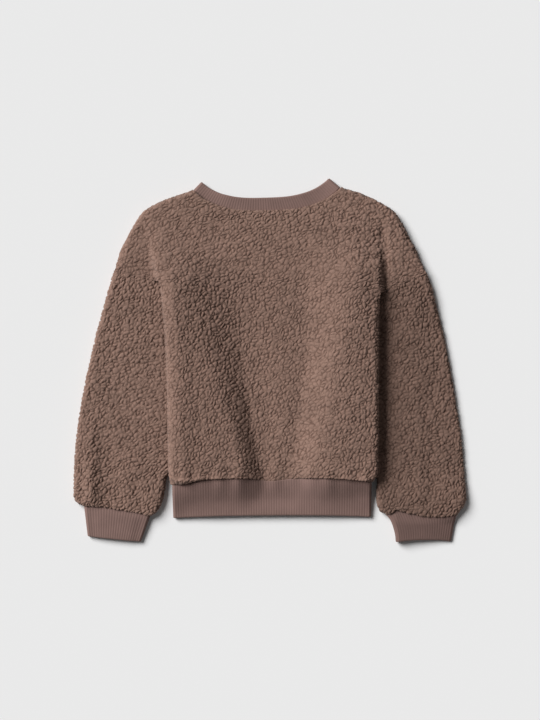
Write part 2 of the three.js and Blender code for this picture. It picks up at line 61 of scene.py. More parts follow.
camera_data = bpy.data.cameras.new("camera_above")
camera_data.sensor_fit = "AUTO"
camera_data.sensor_width = SENSOR
camera_data.lens = SENSOR * CAMERA_HEIGHT / FLOOR_IN_VIEW
camera = bpy.data.objects.new("camera_above", camera_data)
camera.location = (0, 0, CAMERA_HEIGHT)
scene.collection.objects.link(camera)
scene.camera = camera
print(f"lens {camera_data.lens:.0f} mm at {CAMERA_HEIGHT} m")

# %% [markdown]
# ## The floor and the light
#
# A plain pale floor catches the soft shadows. Each light is a sun with a very wide disc, which acts as a large
# softbox. A studio lights the floor on its own, from higher up, so that it stays even and its shadows short; the
# garment's light comes in lower, from the left, and shows up its folds. Light linking keeps the two apart: each
# light has a collection of the objects that it reaches. The sky fills the rest.

# %% The floor
FLOOR_SIZE = 8.0
FLOOR_TONE = 0.8


def node(tree, kind, inputs=None, **settings):
    """Adds a node to a tree, with its settings, and its inputs given as values or as sockets to link."""
    made = tree.nodes.new(kind)
    for name, value in settings.items():
        setattr(made, name, value)
    for key, value in (inputs or {}).items():
        if isinstance(value, bpy.types.NodeSocket):
            tree.links.new(value, made.inputs[key])
        else:
            made.inputs[key].default_value = value
    return made


def empty_material(name):
    """A material with nothing in it but its output and one main shader."""
    material = bpy.data.materials.new(name)
    material.use_nodes = True
    tree = material.node_tree
    tree.nodes.clear()
    output = node(tree, "ShaderNodeOutputMaterial")
    shader = node(tree, "ShaderNodeBsdfPrincipled")
    tree.links.new(shader.outputs["BSDF"], output.inputs["Surface"])
    return material, tree, shader


bpy.ops.object.select_all(action="DESELECT")
bpy.ops.mesh.primitive_plane_add(size=FLOOR_SIZE, location=(0, 0, 0))
floor = bpy.context.active_object
floor.name = "floor"
floor_material, _, floor_shader = empty_material("pale_floor")
floor_shader.inputs["Base Color"].default_value = (FLOOR_TONE, FLOOR_TONE, FLOOR_TONE, 1)
floor_shader.inputs["Roughness"].default_value = 1.0
floor_shader.inputs["Specular IOR Level"].default_value = 0.0
floor.data.materials.append(floor_material)
print("floor:", FLOOR_SIZE, "m square")

# %% The softboxes and the sky
# degrees, the azimuth from +X towards +Y
GARMENT_LIGHT = {"azimuth": 152, "elevation": 35, "width": 38, "strength": 4.57}
FAR_LIGHT = {**GARMENT_LIGHT, "strength": 3.4}
FLOOR_LIGHT = {"azimuth": 141, "elevation": 41, "width": 36, "strength": 4.32}
SKY_TONE = 0.12


def softbox(name, azimuth, elevation, width, strength):
    """A sun with a wide disc, and the collection of objects that it lights."""
    data = bpy.data.lights.new(name, "SUN")
    data.energy = strength
    data.angle = math.radians(width)
    light = bpy.data.objects.new(name, data)
    light.rotation_euler = (0, math.radians(90 - elevation), math.radians(azimuth))
    scene.collection.objects.link(light)
    lit = bpy.data.collections.new(f"lit_by_{name}")
    light.light_linking.receiver_collection = lit
    return lit


lit_garment = softbox("garment_light", **GARMENT_LIGHT)
lit_far = softbox("far_light", **FAR_LIGHT)
lit_floor = softbox("floor_light", **FLOOR_LIGHT)
lit_floor.objects.link(floor)

sky = bpy.data.worlds.new("sky")
sky.use_nodes = True
sky.node_tree.nodes["Background"].inputs["Color"].default_value = (SKY_TONE, SKY_TONE, SKY_TONE, 1)
scene.world = sky
scene.view_settings.view_transform = "Standard"
print("garment light:", GARMENT_LIGHT, "floor light:", FLOOR_LIGHT)

# %% [markdown]
# ## Sizes of the cloth
#
# These are the sizes that the solids were made from, in millimetres. Every surface below is worked out from them, and
# turned into metres only when its mesh is made.

# %% Sizes of the cloth
MM = 0.001
SHERPA = 5.5  # sherpa cloth with its pile
RIB = 3.0  # rib knit, folded double
AIR = 2.0  # between two layers that lie on each other
AIR_LIMITS = (0.8, 9.0)
SLOPE_AIR = 4.0
LAYERS = 2 * SHERPA + AIR
LIFT = LAYERS + 0.6  # how high the body rides where a sleeve lies under it
ROLL = LAYERS / 2  # the radius of a rolled side edge
SEAM_DIP = 0.9
ARMHOLE_DIP = 0.7
OVERLAP = 1.4  # how far the pile lies over a seam
EDGE_OPENING = math.radians(1.5)
STEEPEST = 1.5
NECK_ROUND = {"back": 3.1, "front": 2.4}
BAND_ROUND = 2.5
BODY_ROUND = (74, 110)  # the y where the body's sections change from the hem's roundness to the neck's

# %% [markdown]
# ## The body's sections
#
# The body is a pair of panels. Its sections run across it from the hem to the neck: up its rolled sides, out along
# the armholes, and up the shoulders to the neck. Smooth curves join the sections, and the armhole's two corners stay
# sharp, because that is where the cloth was cut.

# %% Tables of the body
# left end x y, right end x y, the middle's y on the back and on the front, 1 if the end is rolled round to the
# other panel or 0 if it is sewn to a sleeve
BODY = np.array([
    (-126, -157.2, 130, -154, -150.2, -150.2, 1),
    (-127, -153.5, 133.6, -151, -146.6, -146.6, 1),
    (-128, -147, 136, -145.5, -141.5, -141.5, 1),
    (-128.8, -132, 137, -130, -129.5, -129.5, 1),
    (-129.4, -105, 137.4, -104, -105, -105, 1),
    (-129.8, -72, 137.7, -74, -73, -73, 1),
    (-130.4, -38, 137.8, -42, -40, -40, 1),
    (-131.5, -4, 137.8, -10, -8, -8, 1),
    (-133.2, 30, 137.8, 22, 24, 22, 1),
    (-135.7, 60, 138, 50, 52, 52, 1),
    (-138, 84, 138.6, 71, 74, 74, 1),
    (-140, 100.2, 139.8, 86.1, 88, 88, 0),
    (-152, 103.07, 155, 91.8, 95, 95, 0),
    (-174, 108.3, 176, 101, 102, 102, 0),
    (-197.2, 113.81, 198.2, 110.75, 110, 108.5, 0),
    (-194.5, 123, 192, 123, 121, 113, 1),
    (-189.2, 139.7, 184.4, 142, 134, 117, 1),
    (-180.3, 157.5, 175.3, 158, 147, 121, 1),
    (-171.5, 173, 167, 175, 159, 125, 1),
    (-161, 188, 157, 188.5, 169, 128.5, 1),
    (-143, 199, 140, 200, 176.5, 132, 1),
    (-119, 208.5, 112, 212.5, 183, 135, 1),
    (-98.5, 214.8, 91, 218.4, 188.6, 138, 1),
])
BODY_CORNERS = (0, 11, 14, 22)
HEM_Y = BODY[0, 4]

# y, the x of the left and of the right slope where the body comes down from the sleeves to the floor, and half
# the width of each
DESCENT = np.array([
    (160, -112, 70, 40, 58), (100, -84, 74, 42, 42), (36, -65, 71, 33, 28), (-6, -56, 66, 25, 25),
    (-48, -47, 61, 22, 25), (-90, -38, 54, 19, 23), (-133, -28, 47, 17, 22), (-160, -24, 45, 17, 22),
])
# y, the x of the left and of the right crease between the raised body and the shoulder, and its half width
CREASE = np.array([
    (172, -162, 142, 18), (155, -156, 142.5, 10), (140, -151.5, 142.5, 6), (124, -148, 142.5, 5),
    (110, -144.5, 142.8, 4.5), (84, -143.5, 143.5, 4.5),
])
SETTLE = {"left": (101.5, 172), "right": (88, 162)}
HEM_LIFT = {"from": -151, "to": -156, "keep": 0.72}
HEM_GATHER = {"height": 0.7, "length": 23, "reach": 26}
FOLD_ENDS = 0.3

# from x y, to x y, half width and height of each soft fold of the back
BACK_FOLDS = (
    (-122, 96, -112, -146, 26, 5.0),
    (-84, 60, -72, -140, 15, 1.0),
    (-40, 150, 30, 40, 26, 0.8),
    (18, 0, 14, -145, 15, 0.9),
    (100, 90, 90, -146, 34, 3.2),
    (122, -60, 96, -150, 16, -0.8),
    (-18, 20, 0, -140, 13, -1.1),
)
EDGE_RISE = 19  # how far in from a rolled edge the folds reach their height
BESIDE_SHOULDER = (105, 150)  # the y from which to which the crease stops being the body's edge
# The body under the yoke stands higher than the shoulders: x of its left and right slope at two heights, half
# their width, how high it stands, and the y where it starts and ends.
YOKE = {
    "y": (100, 135, 168), "left": (-143.5, -146, -155), "right": (121, 120, 118), "height": (3.4, 4.4),
    "half": (9, 23), "ends": (15, 90, 210, 86),
}
# beyond its crease the right shoulder slopes down to the right: its height at the crease, and from where to where
SHOULDER = {"height": 2.4, "from": 142, "to": 192, "groove": (144.5, 5.5, 3.0)}
print("body sections:", len(BODY))

# The seams of the hem and of the right cuff wander: at a place x, how far up they lie
SEAM_WANDER = {
    "hem": (
        (-124, -112, -102, -93, -85, -72, -38, -23, -10, 0, 13, 25, 38, 66, 95, 126),
        (0.6, -0.6, 0.0, 2.0, 3.4, 3.2, 2.9, 1.5, -1.2, -2.3, -1.4, 0.3, 1.4, 2.2, 2.4, 1.2),
    ),
    "cuff_right": ((136, 146, 151, 156, 164, 184, 203, 228, 242), (0, 0, 2.5, 5.8, 4.2, -0.6, -4, -5.7, -5)),
}

# %% Helpers for curves and slopes


def wander(seam, x):
    """How far up a seam lies at a place along it."""
    at, up = SEAM_WANDER[seam]
    return np.interp(x, at, up)


def ease(t):
    """Rises smoothly from 0 to 1."""
    t = np.clip(t, 0, 1)
    return t * t * (3 - 2 * t)


def dome(t, power):
    return 1 - np.abs(2 * t - 1) ** power


def read_at(table, y, column):
    """A column of a table whose rows go down in y, read between its rows."""
    return np.interp(y, table[::-1, 0], table[::-1, column])


def curve_through(stations, values, at):
    """Values at places along a smooth curve through a table's rows."""
    slopes = np.gradient(values, stations, axis=0) if len(stations) > 2 else np.zeros_like(values)
    if len(stations) == 2:
        slopes[:] = (values[1] - values[0]) / (stations[1] - stations[0])
    i = np.clip(np.searchsorted(stations, at, side="right") - 1, 0, len(stations) - 2)
    step = (stations[i + 1] - stations[i])[:, None]
    t = (at[:, None] - stations[i][:, None]) / step
    return (
        (2 * t**3 - 3 * t**2 + 1) * values[i]
        + (t**3 - 2 * t**2 + t) * step * slopes[i]
        + (3 * t**2 - 2 * t**3) * values[i + 1]
        + (t**3 - t**2) * step * slopes[i + 1]
    )


def folds_at(folds, x, y):
    """The height that a set of soft folds adds at a place: ridges are above 0 and troughs below."""
    total = np.zeros_like(x)
    for from_x, from_y, to_x, to_y, half, height in folds:
        along_x, along_y = to_x - from_x, to_y - from_y
        length = math.hypot(along_x, along_y)
        t = ((x - from_x) * along_x + (y - from_y) * along_y) / length**2
        off = ((x - from_x) * along_y - (y - from_y) * along_x) / length
        ends = ease(t / FOLD_ENDS + 0.5) * ease((1 - t) / FOLD_ENDS + 0.5)
        total += height * ends * np.exp(-((off / half) ** 2))
    return total


def body_lift(x, y, creased=True):
    """How high the front panel is above the floor: 0 in the middle, LIFT over the sleeves."""
    left = x < 0
    out = np.where(left, -1.0, 1.0)
    slope_x = np.where(left, read_at(DESCENT, y, 1), read_at(DESCENT, y, 2))
    crease_x = np.where(left, read_at(CREASE, y, 1), read_at(CREASE, y, 2))
    half = read_at(CREASE, y, 3)
    slope_half = np.where(left, read_at(DESCENT, y, 3), read_at(DESCENT, y, 4))
    raised = ease((out * (x - slope_x) + slope_half) / (2 * slope_half))
    on_wing = ease((out * (x - crease_x) + half) / (2 * half))
    starts = np.where(left, SETTLE["left"][0], SETTLE["right"][0])
    ends = np.where(left, SETTLE["left"][1], SETTLE["right"][1])
    settled = ease((y - starts) / (ends - starts))
    at_hem = ease((y - HEM_LIFT["from"]) / (HEM_LIFT["to"] - HEM_LIFT["from"]))
    hem = 1 + (HEM_LIFT["keep"] - 1) * at_hem
    return LIFT * raised * (1 - settled) * hem * np.where(creased & (y > CREASE[-1, 0]), 1 - on_wing, 1)


def slope_stretch(x, y):
    """How much higher than its thickness a cloth is on a slope. The narrow crease is left out."""
    step = 3.0
    across = (body_lift(x + step, y, False) - body_lift(x - step, y, False)) / (2 * step)
    down = (body_lift(x, y + step, False) - body_lift(x, y - step, False)) / (2 * step)
    return np.minimum(STEEPEST, np.sqrt(1 + across**2 + down**2))


def shoulder_slope(x):
    """How much higher the right shoulder is beside its crease than at its outer edge."""
    beyond_crease = ease((x - SHOULDER["from"] + 4) / 8)
    return SHOULDER["height"] * beyond_crease * ease((SHOULDER["to"] - x) / (SHOULDER["to"] - SHOULDER["from"]))


def yoke_at(x, y):
    """How much higher than the shoulders the body stands under the yoke."""
    left, right = (np.interp(y, YOKE["y"], YOKE[side]) for side in ("left", "right"))
    (left_height, right_height), (left_half, right_half) = YOKE["height"], YOKE["half"]
    across = left_height * ease((x - left + left_half) / (2 * left_half)) * ease(-x / 60)
    across += right_height * ease((right + right_half - x) / (2 * right_half)) * ease((x + 80) / 210)
    starts, rising, ends, falling = YOKE["ends"]
    return across * ease((y - starts) / rising) * ease((ends - y) / falling)


def body_air(x, y, from_edge):
    """The air between the two panels, with the back's folds and the hem's gathers in it."""
    fade = 1 - ease((y - HEM_Y) / HEM_GATHER["reach"])
    gather = HEM_GATHER["height"] * fade * np.sin(2 * math.pi * x / HEM_GATHER["length"])
    rise = 1 - (1 - np.clip(from_edge / EDGE_RISE, 0, 1)) ** 2
    raised = (folds_at(BACK_FOLDS, x, y) + gather + yoke_at(x, y)) * rise
    groove_x, groove_half, groove_depth = SHOULDER["groove"]
    groove = groove_depth * np.exp(-(((x - groove_x) / groove_half) ** 2)) * ease((y - 88) / 10) * ease((182 - y) / 34)
    raised = raised + shoulder_slope(x) * ease((y - 78) / 20) * ease((200 - y) / 90) - groove
    return np.clip(AIR + raised, *AIR_LIMITS)


def in_from_edge(x, y, from_end):
    """How far in from the body's edge a place is: from its panel's end, or from the crease beside a shoulder."""
    crease_x = np.where(x < 0, -read_at(CREASE, y, 1), read_at(CREASE, y, 2))
    from_crease = np.maximum(0, crease_x - read_at(CREASE, y, 3) - np.abs(x))
    low, high = BESIDE_SHOULDER
    from_crease = from_crease + (from_end - from_crease) * ease((y - low) / (high - low))
    return np.where(y > CREASE[-1, 0], np.minimum(from_end, from_crease), from_end)


print("lift over a sleeve at x -100, y -50:", body_lift(np.array([-100.0]), np.array([-50.0])))

# %% [markdown]
# ## Shells of cloth
#
# Each piece is a closed shell: a fine grid of points for the side that shows, a coarse one for the side that nobody
# sees, and strips of triangles that join the two round the cut edges. A fine inner side would only double the mesh.
# Every point also keeps its place on the flat cloth, in millimetres, so that curls and ribs follow the cloth round a
# rolled edge, and a weight that says how freely the pile stands there.

# %% Helpers for shells


def grid_faces(columns, rows, closed):
    """The four-sided faces between the points of a grid, by number."""
    last = columns if closed else columns - 1
    i, j = np.meshgrid(np.arange(rows - 1), np.arange(last), indexing="ij")
    k = (j + 1) % columns
    a, b = i * columns + j, i * columns + k
    return np.stack([a, b, b + columns, a + columns], axis=-1).reshape(-1, 4)


def joined(fine, fine_at, coarse, coarse_at):
    """Triangles that join a line of many points to a line of few, each given with how far along it is."""
    faces, j, k = [], 0, 0
    while j < len(fine) - 1 or k < len(coarse) - 1:
        next_fine = fine_at[j + 1] if j < len(fine) - 1 else math.inf
        next_coarse = coarse_at[k + 1] if k < len(coarse) - 1 else math.inf
        if next_fine <= next_coarse:
            faces.append((fine[j], coarse[k], fine[j + 1]))
            j += 1
        else:
            faces.append((fine[j], coarse[k], coarse[k + 1]))
            k += 1
    return faces


def picks(count, keep):
    """Evenly spread numbers, the first and the last among them."""
    return np.unique(np.round(np.linspace(0, count - 1, keep)).astype(int))


def shell(name, face, inside, cloth_place, weight, keep_rows, keep_columns, closed):
    """A closed shell of cloth from a grid of points on its face and one on its inner side."""
    rows, columns = face.shape[:2]
    row_picks = picks(rows, keep_rows)
    column_picks = picks(columns, keep_columns + 1)[:-1] if closed else picks(columns, keep_columns)
    coarse = inside[np.ix_(row_picks, column_picks)]
    few_rows, few_columns = coarse.shape[:2]
    first = rows * columns
    points = np.concatenate([face.reshape(-1, 3), coarse.reshape(-1, 3)])
    quads = np.concatenate([
        grid_faces(columns, rows, closed),
        first + grid_faces(few_columns, few_rows, closed)[:, ::-1],
    ])

    fine_number = np.arange(first).reshape(rows, columns)
    coarse_number = first + np.arange(coarse.shape[0] * coarse.shape[1]).reshape(few_rows, few_columns)
    rim = []
    for end, turned in ((0, False), (-1, True)):
        fine, few = fine_number[end], coarse_number[end]
        fine_at, few_at = np.arange(columns), column_picks
        if closed:
            fine, few = np.append(fine, fine[0]), np.append(few, few[0])
            fine_at, few_at = np.arange(columns + 1), np.append(column_picks, columns)
        strip = joined(fine, fine_at, few, few_at)
        rim += [tri[::-1] for tri in strip] if turned else strip
    if not closed:
        for end, turned in ((0, True), (-1, False)):
            strip = joined(fine_number[:, end], np.arange(rows), coarse_number[:, end], row_picks)
            rim += [tri[::-1] for tri in strip] if turned else strip
    rim = np.array(rim)

    tris = np.concatenate([quads[:, [0, 1, 2]], quads[:, [0, 2, 3]], rim])
    a, b, c = (points[tris[:, n]] for n in range(3))
    if np.einsum("ij,ij->", a, np.cross(b, c)) < 0:  # the faces point inwards
        quads, rim = quads[:, ::-1], rim[:, ::-1]

    mesh = bpy.data.meshes.new(name)
    mesh.vertices.add(len(points))
    mesh.vertices.foreach_set("co", (points * MM).ravel())
    corners = np.concatenate([quads.ravel(), rim.ravel()])
    sizes = np.concatenate([np.full(len(quads), 4), np.full(len(rim), 3)])
    mesh.loops.add(len(corners))
    mesh.loops.foreach_set("vertex_index", corners)
    mesh.polygons.add(len(sizes))
    mesh.polygons.foreach_set("loop_start", np.concatenate([[0], np.cumsum(sizes)[:-1]]))
    mesh.polygons.foreach_set("loop_total", sizes)
    mesh.update(calc_edges=True)
    mesh.validate()
    mesh.polygons.foreach_set("use_smooth", np.ones(len(sizes), dtype=bool))

    def keep(label, kind, values, on_inside):
        attribute = mesh.attributes.new(label, kind, "POINT")
        all_values = np.concatenate([values.reshape(first, -1), np.broadcast_to(on_inside(values), (len(points) - first, values.reshape(first, -1).shape[1]))])
        attribute.data.foreach_set("vector" if kind == "FLOAT_VECTOR" else "value", all_values.ravel())

    flat = np.dstack([cloth_place, np.zeros((rows, columns))])
    keep("cloth_place", "FLOAT_VECTOR", flat, lambda v: v[np.ix_(row_picks, column_picks)].reshape(-1, 3))
    keep("pile_weight", "FLOAT", weight, lambda v: 0.0)

    piece = bpy.data.objects.new(name, mesh)
    scene.collection.objects.link(piece)
    print(f"{name}: {rows} x {columns} points, {2 * len(quads) + len(rim)} triangles")
    return piece


# %% [markdown]
# ## The back and front panels
#
# The back panel is what the camera sees. It was cut with drop shoulders, so it is widest at the armholes. At the
# sides and shoulders its edge rolls round to meet the front panel, as cloth does at a soft seam, and its pile rounds
# down where a band or a sleeve is sewn on.

# %% Body panels
CALM, OPEN = 0.68, 0.90
# x y of a patch where the pile lies calmer or stands more open, its half width, and how much
PATCHES = (
    (138, 160, 42, 0.55), (-92, 30, 42, 0.14), (48, -20, 34, -0.30), (70, -90, 34, -0.22), (-30, -110, 26, -0.18),
)
HEM_WANDER_REACH = 26  # how far up the body the hem's wandering seam is felt


def dense_sections(spans, rows_in_span):
    """The body's sections on smooth curves between its corners."""
    parts = []
    for (first, last), count in zip(spans, rows_in_span):
        table = BODY[first : last + 1]
        middle = table[:, 4]
        steps = (
            np.hypot(np.diff(table[:, 0]), np.diff(table[:, 1]))
            + np.hypot(np.diff(table[:, 2]), np.diff(table[:, 3]))
            + np.abs(np.diff(middle))
        )
        stations = np.concatenate([[0], np.cumsum(steps)])
        at = np.linspace(0, stations[-1], count + 1)
        dense = curve_through(stations, table, at)
        dense[:, 6] = np.interp(at, stations, table[:, 6])
        parts.append(dense[1:] if parts else dense)
    return np.concatenate(parts)


def opened(x, y, z):
    """How far the curls stand apart: the pile lies calmer on top, and opens where the cloth falls away to the right."""
    fall = -np.gradient(z, axis=1) / np.gradient(x, axis=1)
    patches = sum(more * np.exp(-((x - px) ** 2 + (y - py) ** 2) / half**2) for px, py, half, more in PATCHES)
    return (CALM + (OPEN - CALM) * ease((fall + 0.04) / 0.26)) * (1 + patches)


def body_panel(name, which, rows_in_span, flat_columns, roll_columns, weights, keep):
    """One panel of the body. Its face is the side with the pile: up on the back, down on the front."""
    up = 1 if which == "back" else -1
    spans = list(zip(BODY_CORNERS[:-1], BODY_CORNERS[1:]))
    table = dense_sections(spans, rows_in_span)
    left, right, rolled = table[:, 0:2], table[:, 2:4], table[:, 6:7]
    middle = table[:, 4 if which == "back" else 5]
    length = right[:, 0] - left[:, 0]
    sag = middle - (left[:, 1] + right[:, 1]) / 2
    total = len(table)
    above_armpit = ease((table[:, 4:5] - BODY_ROUND[0]) / (BODY_ROUND[1] - BODY_ROUND[0]))
    roundness = BAND_ROUND + (NECK_ROUND[which] - BAND_ROUND) * above_armpit

    angles = np.linspace(EDGE_OPENING, math.pi / 2, roll_columns)
    share = np.arange(1, flat_columns) / flat_columns
    angle = np.concatenate([angles, np.full(len(share), math.pi / 2), angles[::-1]])[None, :]
    at_edge = np.concatenate([np.ones(roll_columns), np.zeros(len(share)), np.ones(roll_columns)])[None, :] > 0
    in_from_end = np.where(at_edge, ROLL * (1 - np.cos(angle)), 0.0)
    inner_from_end = in_from_end + rolled * (ROLL - (ROLL - SHERPA) * np.cos(angle) - in_from_end)
    from_left = (np.arange(angle.shape[1]) < angle.shape[1] / 2)[None, :]
    flat_at = np.concatenate([np.zeros(roll_columns), share, np.zeros(roll_columns)])[None, :]

    def plan(inwards):
        along = np.where(from_left, inwards, length[:, None] - inwards)
        along = np.where(at_edge, along, ROLL + (length[:, None] - 2 * ROLL) * flat_at)
        t = along / length[:, None]
        x = left[:, :1] + (right[:, :1] - left[:, :1]) * t
        y = left[:, 1:] + (right[:, 1:] - left[:, 1:]) * t + sag[:, None] * dome(t, roundness)
        return x, y

    x, y = plan(in_from_end)
    inner_x, inner_y = plan(inner_from_end)
    base = body_lift(x, y)
    stretch = 1 + (slope_stretch(x, y) - 1) * np.where(at_edge, 1 - rolled, 1)
    from_edge = np.where(at_edge, in_from_end, ROLL + (length[:, None] - 2 * ROLL) * np.minimum(flat_at, 1 - flat_at))
    air = stretch * body_air(x, y, in_from_edge(x, y, from_edge)) + SLOPE_AIR * (stretch - 1)
    top = base + (2 * SHERPA * stretch + air if which == "back" else 0)
    round_down = np.where(at_edge, 1 - np.sin(angle), 0) * rolled
    end_dip = np.where(at_edge, (1 - rolled) * ARMHOLE_DIP * np.cos(angle) ** 2, 0)
    from_hem = np.arange(total) / rows_in_span[0] * 240
    from_neck = (total - 1 - np.arange(total)) / rows_in_span[2] * 110
    near_seam = np.minimum(from_hem, from_neck)[:, None]
    row_dip = SEAM_DIP * np.clip(1 - near_seam / 4.5, 0, 1) ** 2
    dip = np.minimum(SEAM_DIP, end_dip + row_dip) * (1 - np.where(at_edge, rolled * np.cos(angle), 0))
    at_seam = np.maximum(np.clip(1 - near_seam / 3, 0, 1), np.where(at_edge, (1 - rolled) * np.cos(angle) ** 2, 0))
    if which == "back":
        side = np.where(np.arange(total)[:, None] > total / 2, 1, -1)
        side = np.where(at_edge & (rolled < 0.5), -1, side)
        y = y + side * OVERLAP * at_seam
    near_hem = 1 - ease(from_hem / HEM_WANDER_REACH)[:, None]
    y, inner_y = y + near_hem * wander("hem", x), inner_y + near_hem * wander("hem", inner_x)
    face_z = top - up * (ROLL * round_down + dip)
    inner_z = top - up * (SHERPA * stretch + (ROLL - SHERPA) * round_down)

    beyond = np.where(at_edge, ROLL * (math.pi / 2 - angle) - (ROLL - in_from_end), 0) * rolled
    place_x = x + np.where(from_left, -1, 1) * beyond
    offset = 0 if which == "back" else 700
    place = np.stack([place_x + offset, y], axis=-1)
    flat_weight = weights["flat"]
    weight = flat_weight + (weights["roll"] - flat_weight) * round_down
    if which == "back":
        weight = weight * opened(x, y, face_z) * (1 - 0.5 * at_seam)
    if which == "front":  # pressed flat where it lies on the floor or on a sleeve
        weight = flat_weight + (weights["roll"] - flat_weight) * ease(round_down / 0.4)
    face = np.stack([x, y, face_z], axis=-1)
    inside = np.stack([inner_x, inner_y, inner_z], axis=-1)
    return shell(name, face, inside, place, weight, keep[0], keep[1], closed=False)


back = body_panel(
    "back_of_sherpa", "back", rows_in_span=(200, 30, 96), flat_columns=254, roll_columns=9,
    weights={"flat": 1.0, "roll": 1.8}, keep=(58, 48),
)
front = body_panel(
    "front_of_sherpa", "front", rows_in_span=(140, 20, 66), flat_columns=180, roll_columns=8,
    weights={"flat": 0.35, "roll": 1.0}, keep=(46, 40),
)

# %% [markdown]
# ## The sleeves
#
# A sleeve is a tube that was cut full and gathered into its cuff. Laid down, it is two layers with a soft fold along
# each side. The inner fold lies under the body.

# %% Tables of the sleeves
# outer fold x y, inner fold x y, and the thickness, from the armhole to the cuff
SLEEVES = {
    "left": np.array([
        (-198.1, 113.6, -108, 92.1, 13), (-203, 97, -101, 72, 13), (-211.5, 66, -91, 44, 13),
        (-220.5, 34, -84, 12, 13), (-228, 2, -79.5, -20, 13), (-235, -30, -77.5, -52, 13),
        (-241, -62, -80, -84, 13), (-245.5, -95, -90, -108, 13), (-248, -125, -108, -130, 13),
        (-249, -150, -130.5, -149, 13), (-249.2, -165, -133, -166, 13), (-248.4, -176, -138, -184, 12.8),
        (-243.5, -182, -144.5, -194, 12.2), (-238.5, -184.6, -150, -197.4, 11.4),
    ]),
    "right": np.array([
        (199, 110.6, 108, 70.8, 13), (204.5, 95, 103, 52, 13), (211.5, 68, 97, 26, 13),
        (219.5, 36, 91, 0, 13), (226, 4, 86, -26, 13), (231.5, -26, 84, -52, 13),
        (237, -60, 86, -80, 13), (242, -92, 96, -106, 13), (245.3, -124, 113, -129, 13),
        (247.5, -152, 134.6, -150, 13), (248.9, -168, 134.4, -168, 13), (248, -180, 135.6, -184, 12.8),
        (243, -187, 139.5, -192, 12.2), (238, -190.6, 146, -195.5, 11.4),
    ]),
}
CUFF_GATHER = {"stations": 4, "fold_left": 0.4}
SLEEVE_FOLDS = {
    "left": (
        (-214, -84, -198, -180, 15, -2.2), (-239, -78, -229, -186, 12, 4.6), (-172, -150, -166, -190, 8, -1.4),
        (-190, 84, -160, 20, 16, 1.1), (-226, 0, -180, -60, 14, -1.0),
    ),
    "right": (
        (200, -120, 206, -188, 10, -1.4), (192, 92, 170, 20, 14, 1.0), (222, 10, 196, -70, 14, -1.0),
    ),
}
SLEEVE_FOLD_LIMITS = (-3.6, 6.4)
# The right sleeve lies thinner beside the body than under it: how far its upper layer sinks, the y where that
# starts and is full at the armhole and at the cuff, from where to where beyond the body's edge, and how much more it
# sinks over a stretch further out.
SINK = {"depth": 2.8, "armhole": (92, 40), "cuff": (-184, -140), "edge": (-5, 4), "outwards": (2.2, 30, 108)}
TROUGH = {"half": 14, "depth": 3.3}
THINNEST = 0.9  # what the upper layer keeps of its thickness where it is pressed down on the lower one
# the ends of a cuff's sewn edge and of its free edge, and how far each bows up in its middle
CUFFS = {
    "left": {"sewn": ((-236, -185.5), (-151.5, -197.7)), "free": ((-231.5, -223.6), (-163.5, -230.6)), "bow": (2.6, -0.4)},
    "right": {
        "sewn": ((236.6, -191.1), (146, -196)), "free": ((230, -230), (159, -231)), "bow": (-1.6, 2.2), "flare": 2.2,
    },
}

# %% Flattened tubes
FOLD_SHARE = 5  # a fold's roundness takes up one part in this many of each end of the layers


def no_sink(x, y):
    return 0 * x


def flattened(upper, lower, outward, low, thick, folds_up, inset, upper_count, lower_count, bend_count, sink=no_sink):
    """Points round a flattened tube: over its upper layer, round one fold, back under its lower layer and round the
    other. The sink says how much less than its full thickness it is at a place."""
    ends_at = []
    for end in (0, 1):
        (ux, uy), (lx, ly) = upper(np.array([float(end)])), lower(np.array([float(end)]))
        x, y = (ux + lx) / 2, (uy + ly) / 2
        ends_at.append((x, y, (thick - sink(x, y)[0]) / 2))

    def layer(path, t):
        x, y = path(t)
        for end, share in ((0, t), (1, 1 - t)):
            pull = ends_at[end][2] * np.maximum(0, 1 - FOLD_SHARE * share)
            x, y = x - outward[end][0] * pull, y - outward[end][1] * pull
        return x, y

    def bend(end, angles):
        x, y, half = ends_at[end]
        reach = half - min(inset, half - 0.6)
        out = reach * np.cos(angles) - half
        px, py = x + outward[end][0] * out, y + outward[end][1] * out
        return np.stack([px, py, low(px, py) + half + reach * np.sin(angles)], axis=-1)

    t_up = np.linspace(0, 1, upper_count)
    x, y = layer(upper, t_up)
    ends = ease(4 * np.minimum(t_up, 1 - t_up))
    top = np.stack([x, y, low(x, y) + thick - sink(x, y) - inset + ends * folds_up(x, y)], axis=-1)
    t_down = np.linspace(1, 0, lower_count)
    x, y = layer(lower, t_down)
    under = np.stack([x, y, low(x, y) + inset], axis=-1)
    turn = np.linspace(math.pi / 2, -math.pi / 2, bend_count + 2)[1:-1]
    return np.concatenate([top, bend(1, turn), under, bend(0, turn[::-1])])


def direction(a, b):
    length = math.hypot(b[0] - a[0], b[1] - a[1])
    return ((b[0] - a[0]) / length, (b[1] - a[1]) / length)


def beside_body(x, y):
    """How far out from the body's right edge a place is, and how fully the sleeve sinks at its y."""
    edge = np.interp(y, BODY[:12, 3], BODY[:12, 2])
    top, full = SINK["armhole"]
    low, full_low = SINK["cuff"]
    return x - edge, ease((top - y) / (top - full)) * ease((y - low) / (full_low - low))


def right_sink(x, y):
    """How much thinner than under the body the right sleeve is."""
    out, along = beside_body(x, y)
    (starts, ends), (more, from_out, to_out) = SINK["edge"], SINK["outwards"]
    return along * (SINK["depth"] * ease((out - starts) / (ends - starts)) + more * ease((out - from_out) / (to_out - from_out)))


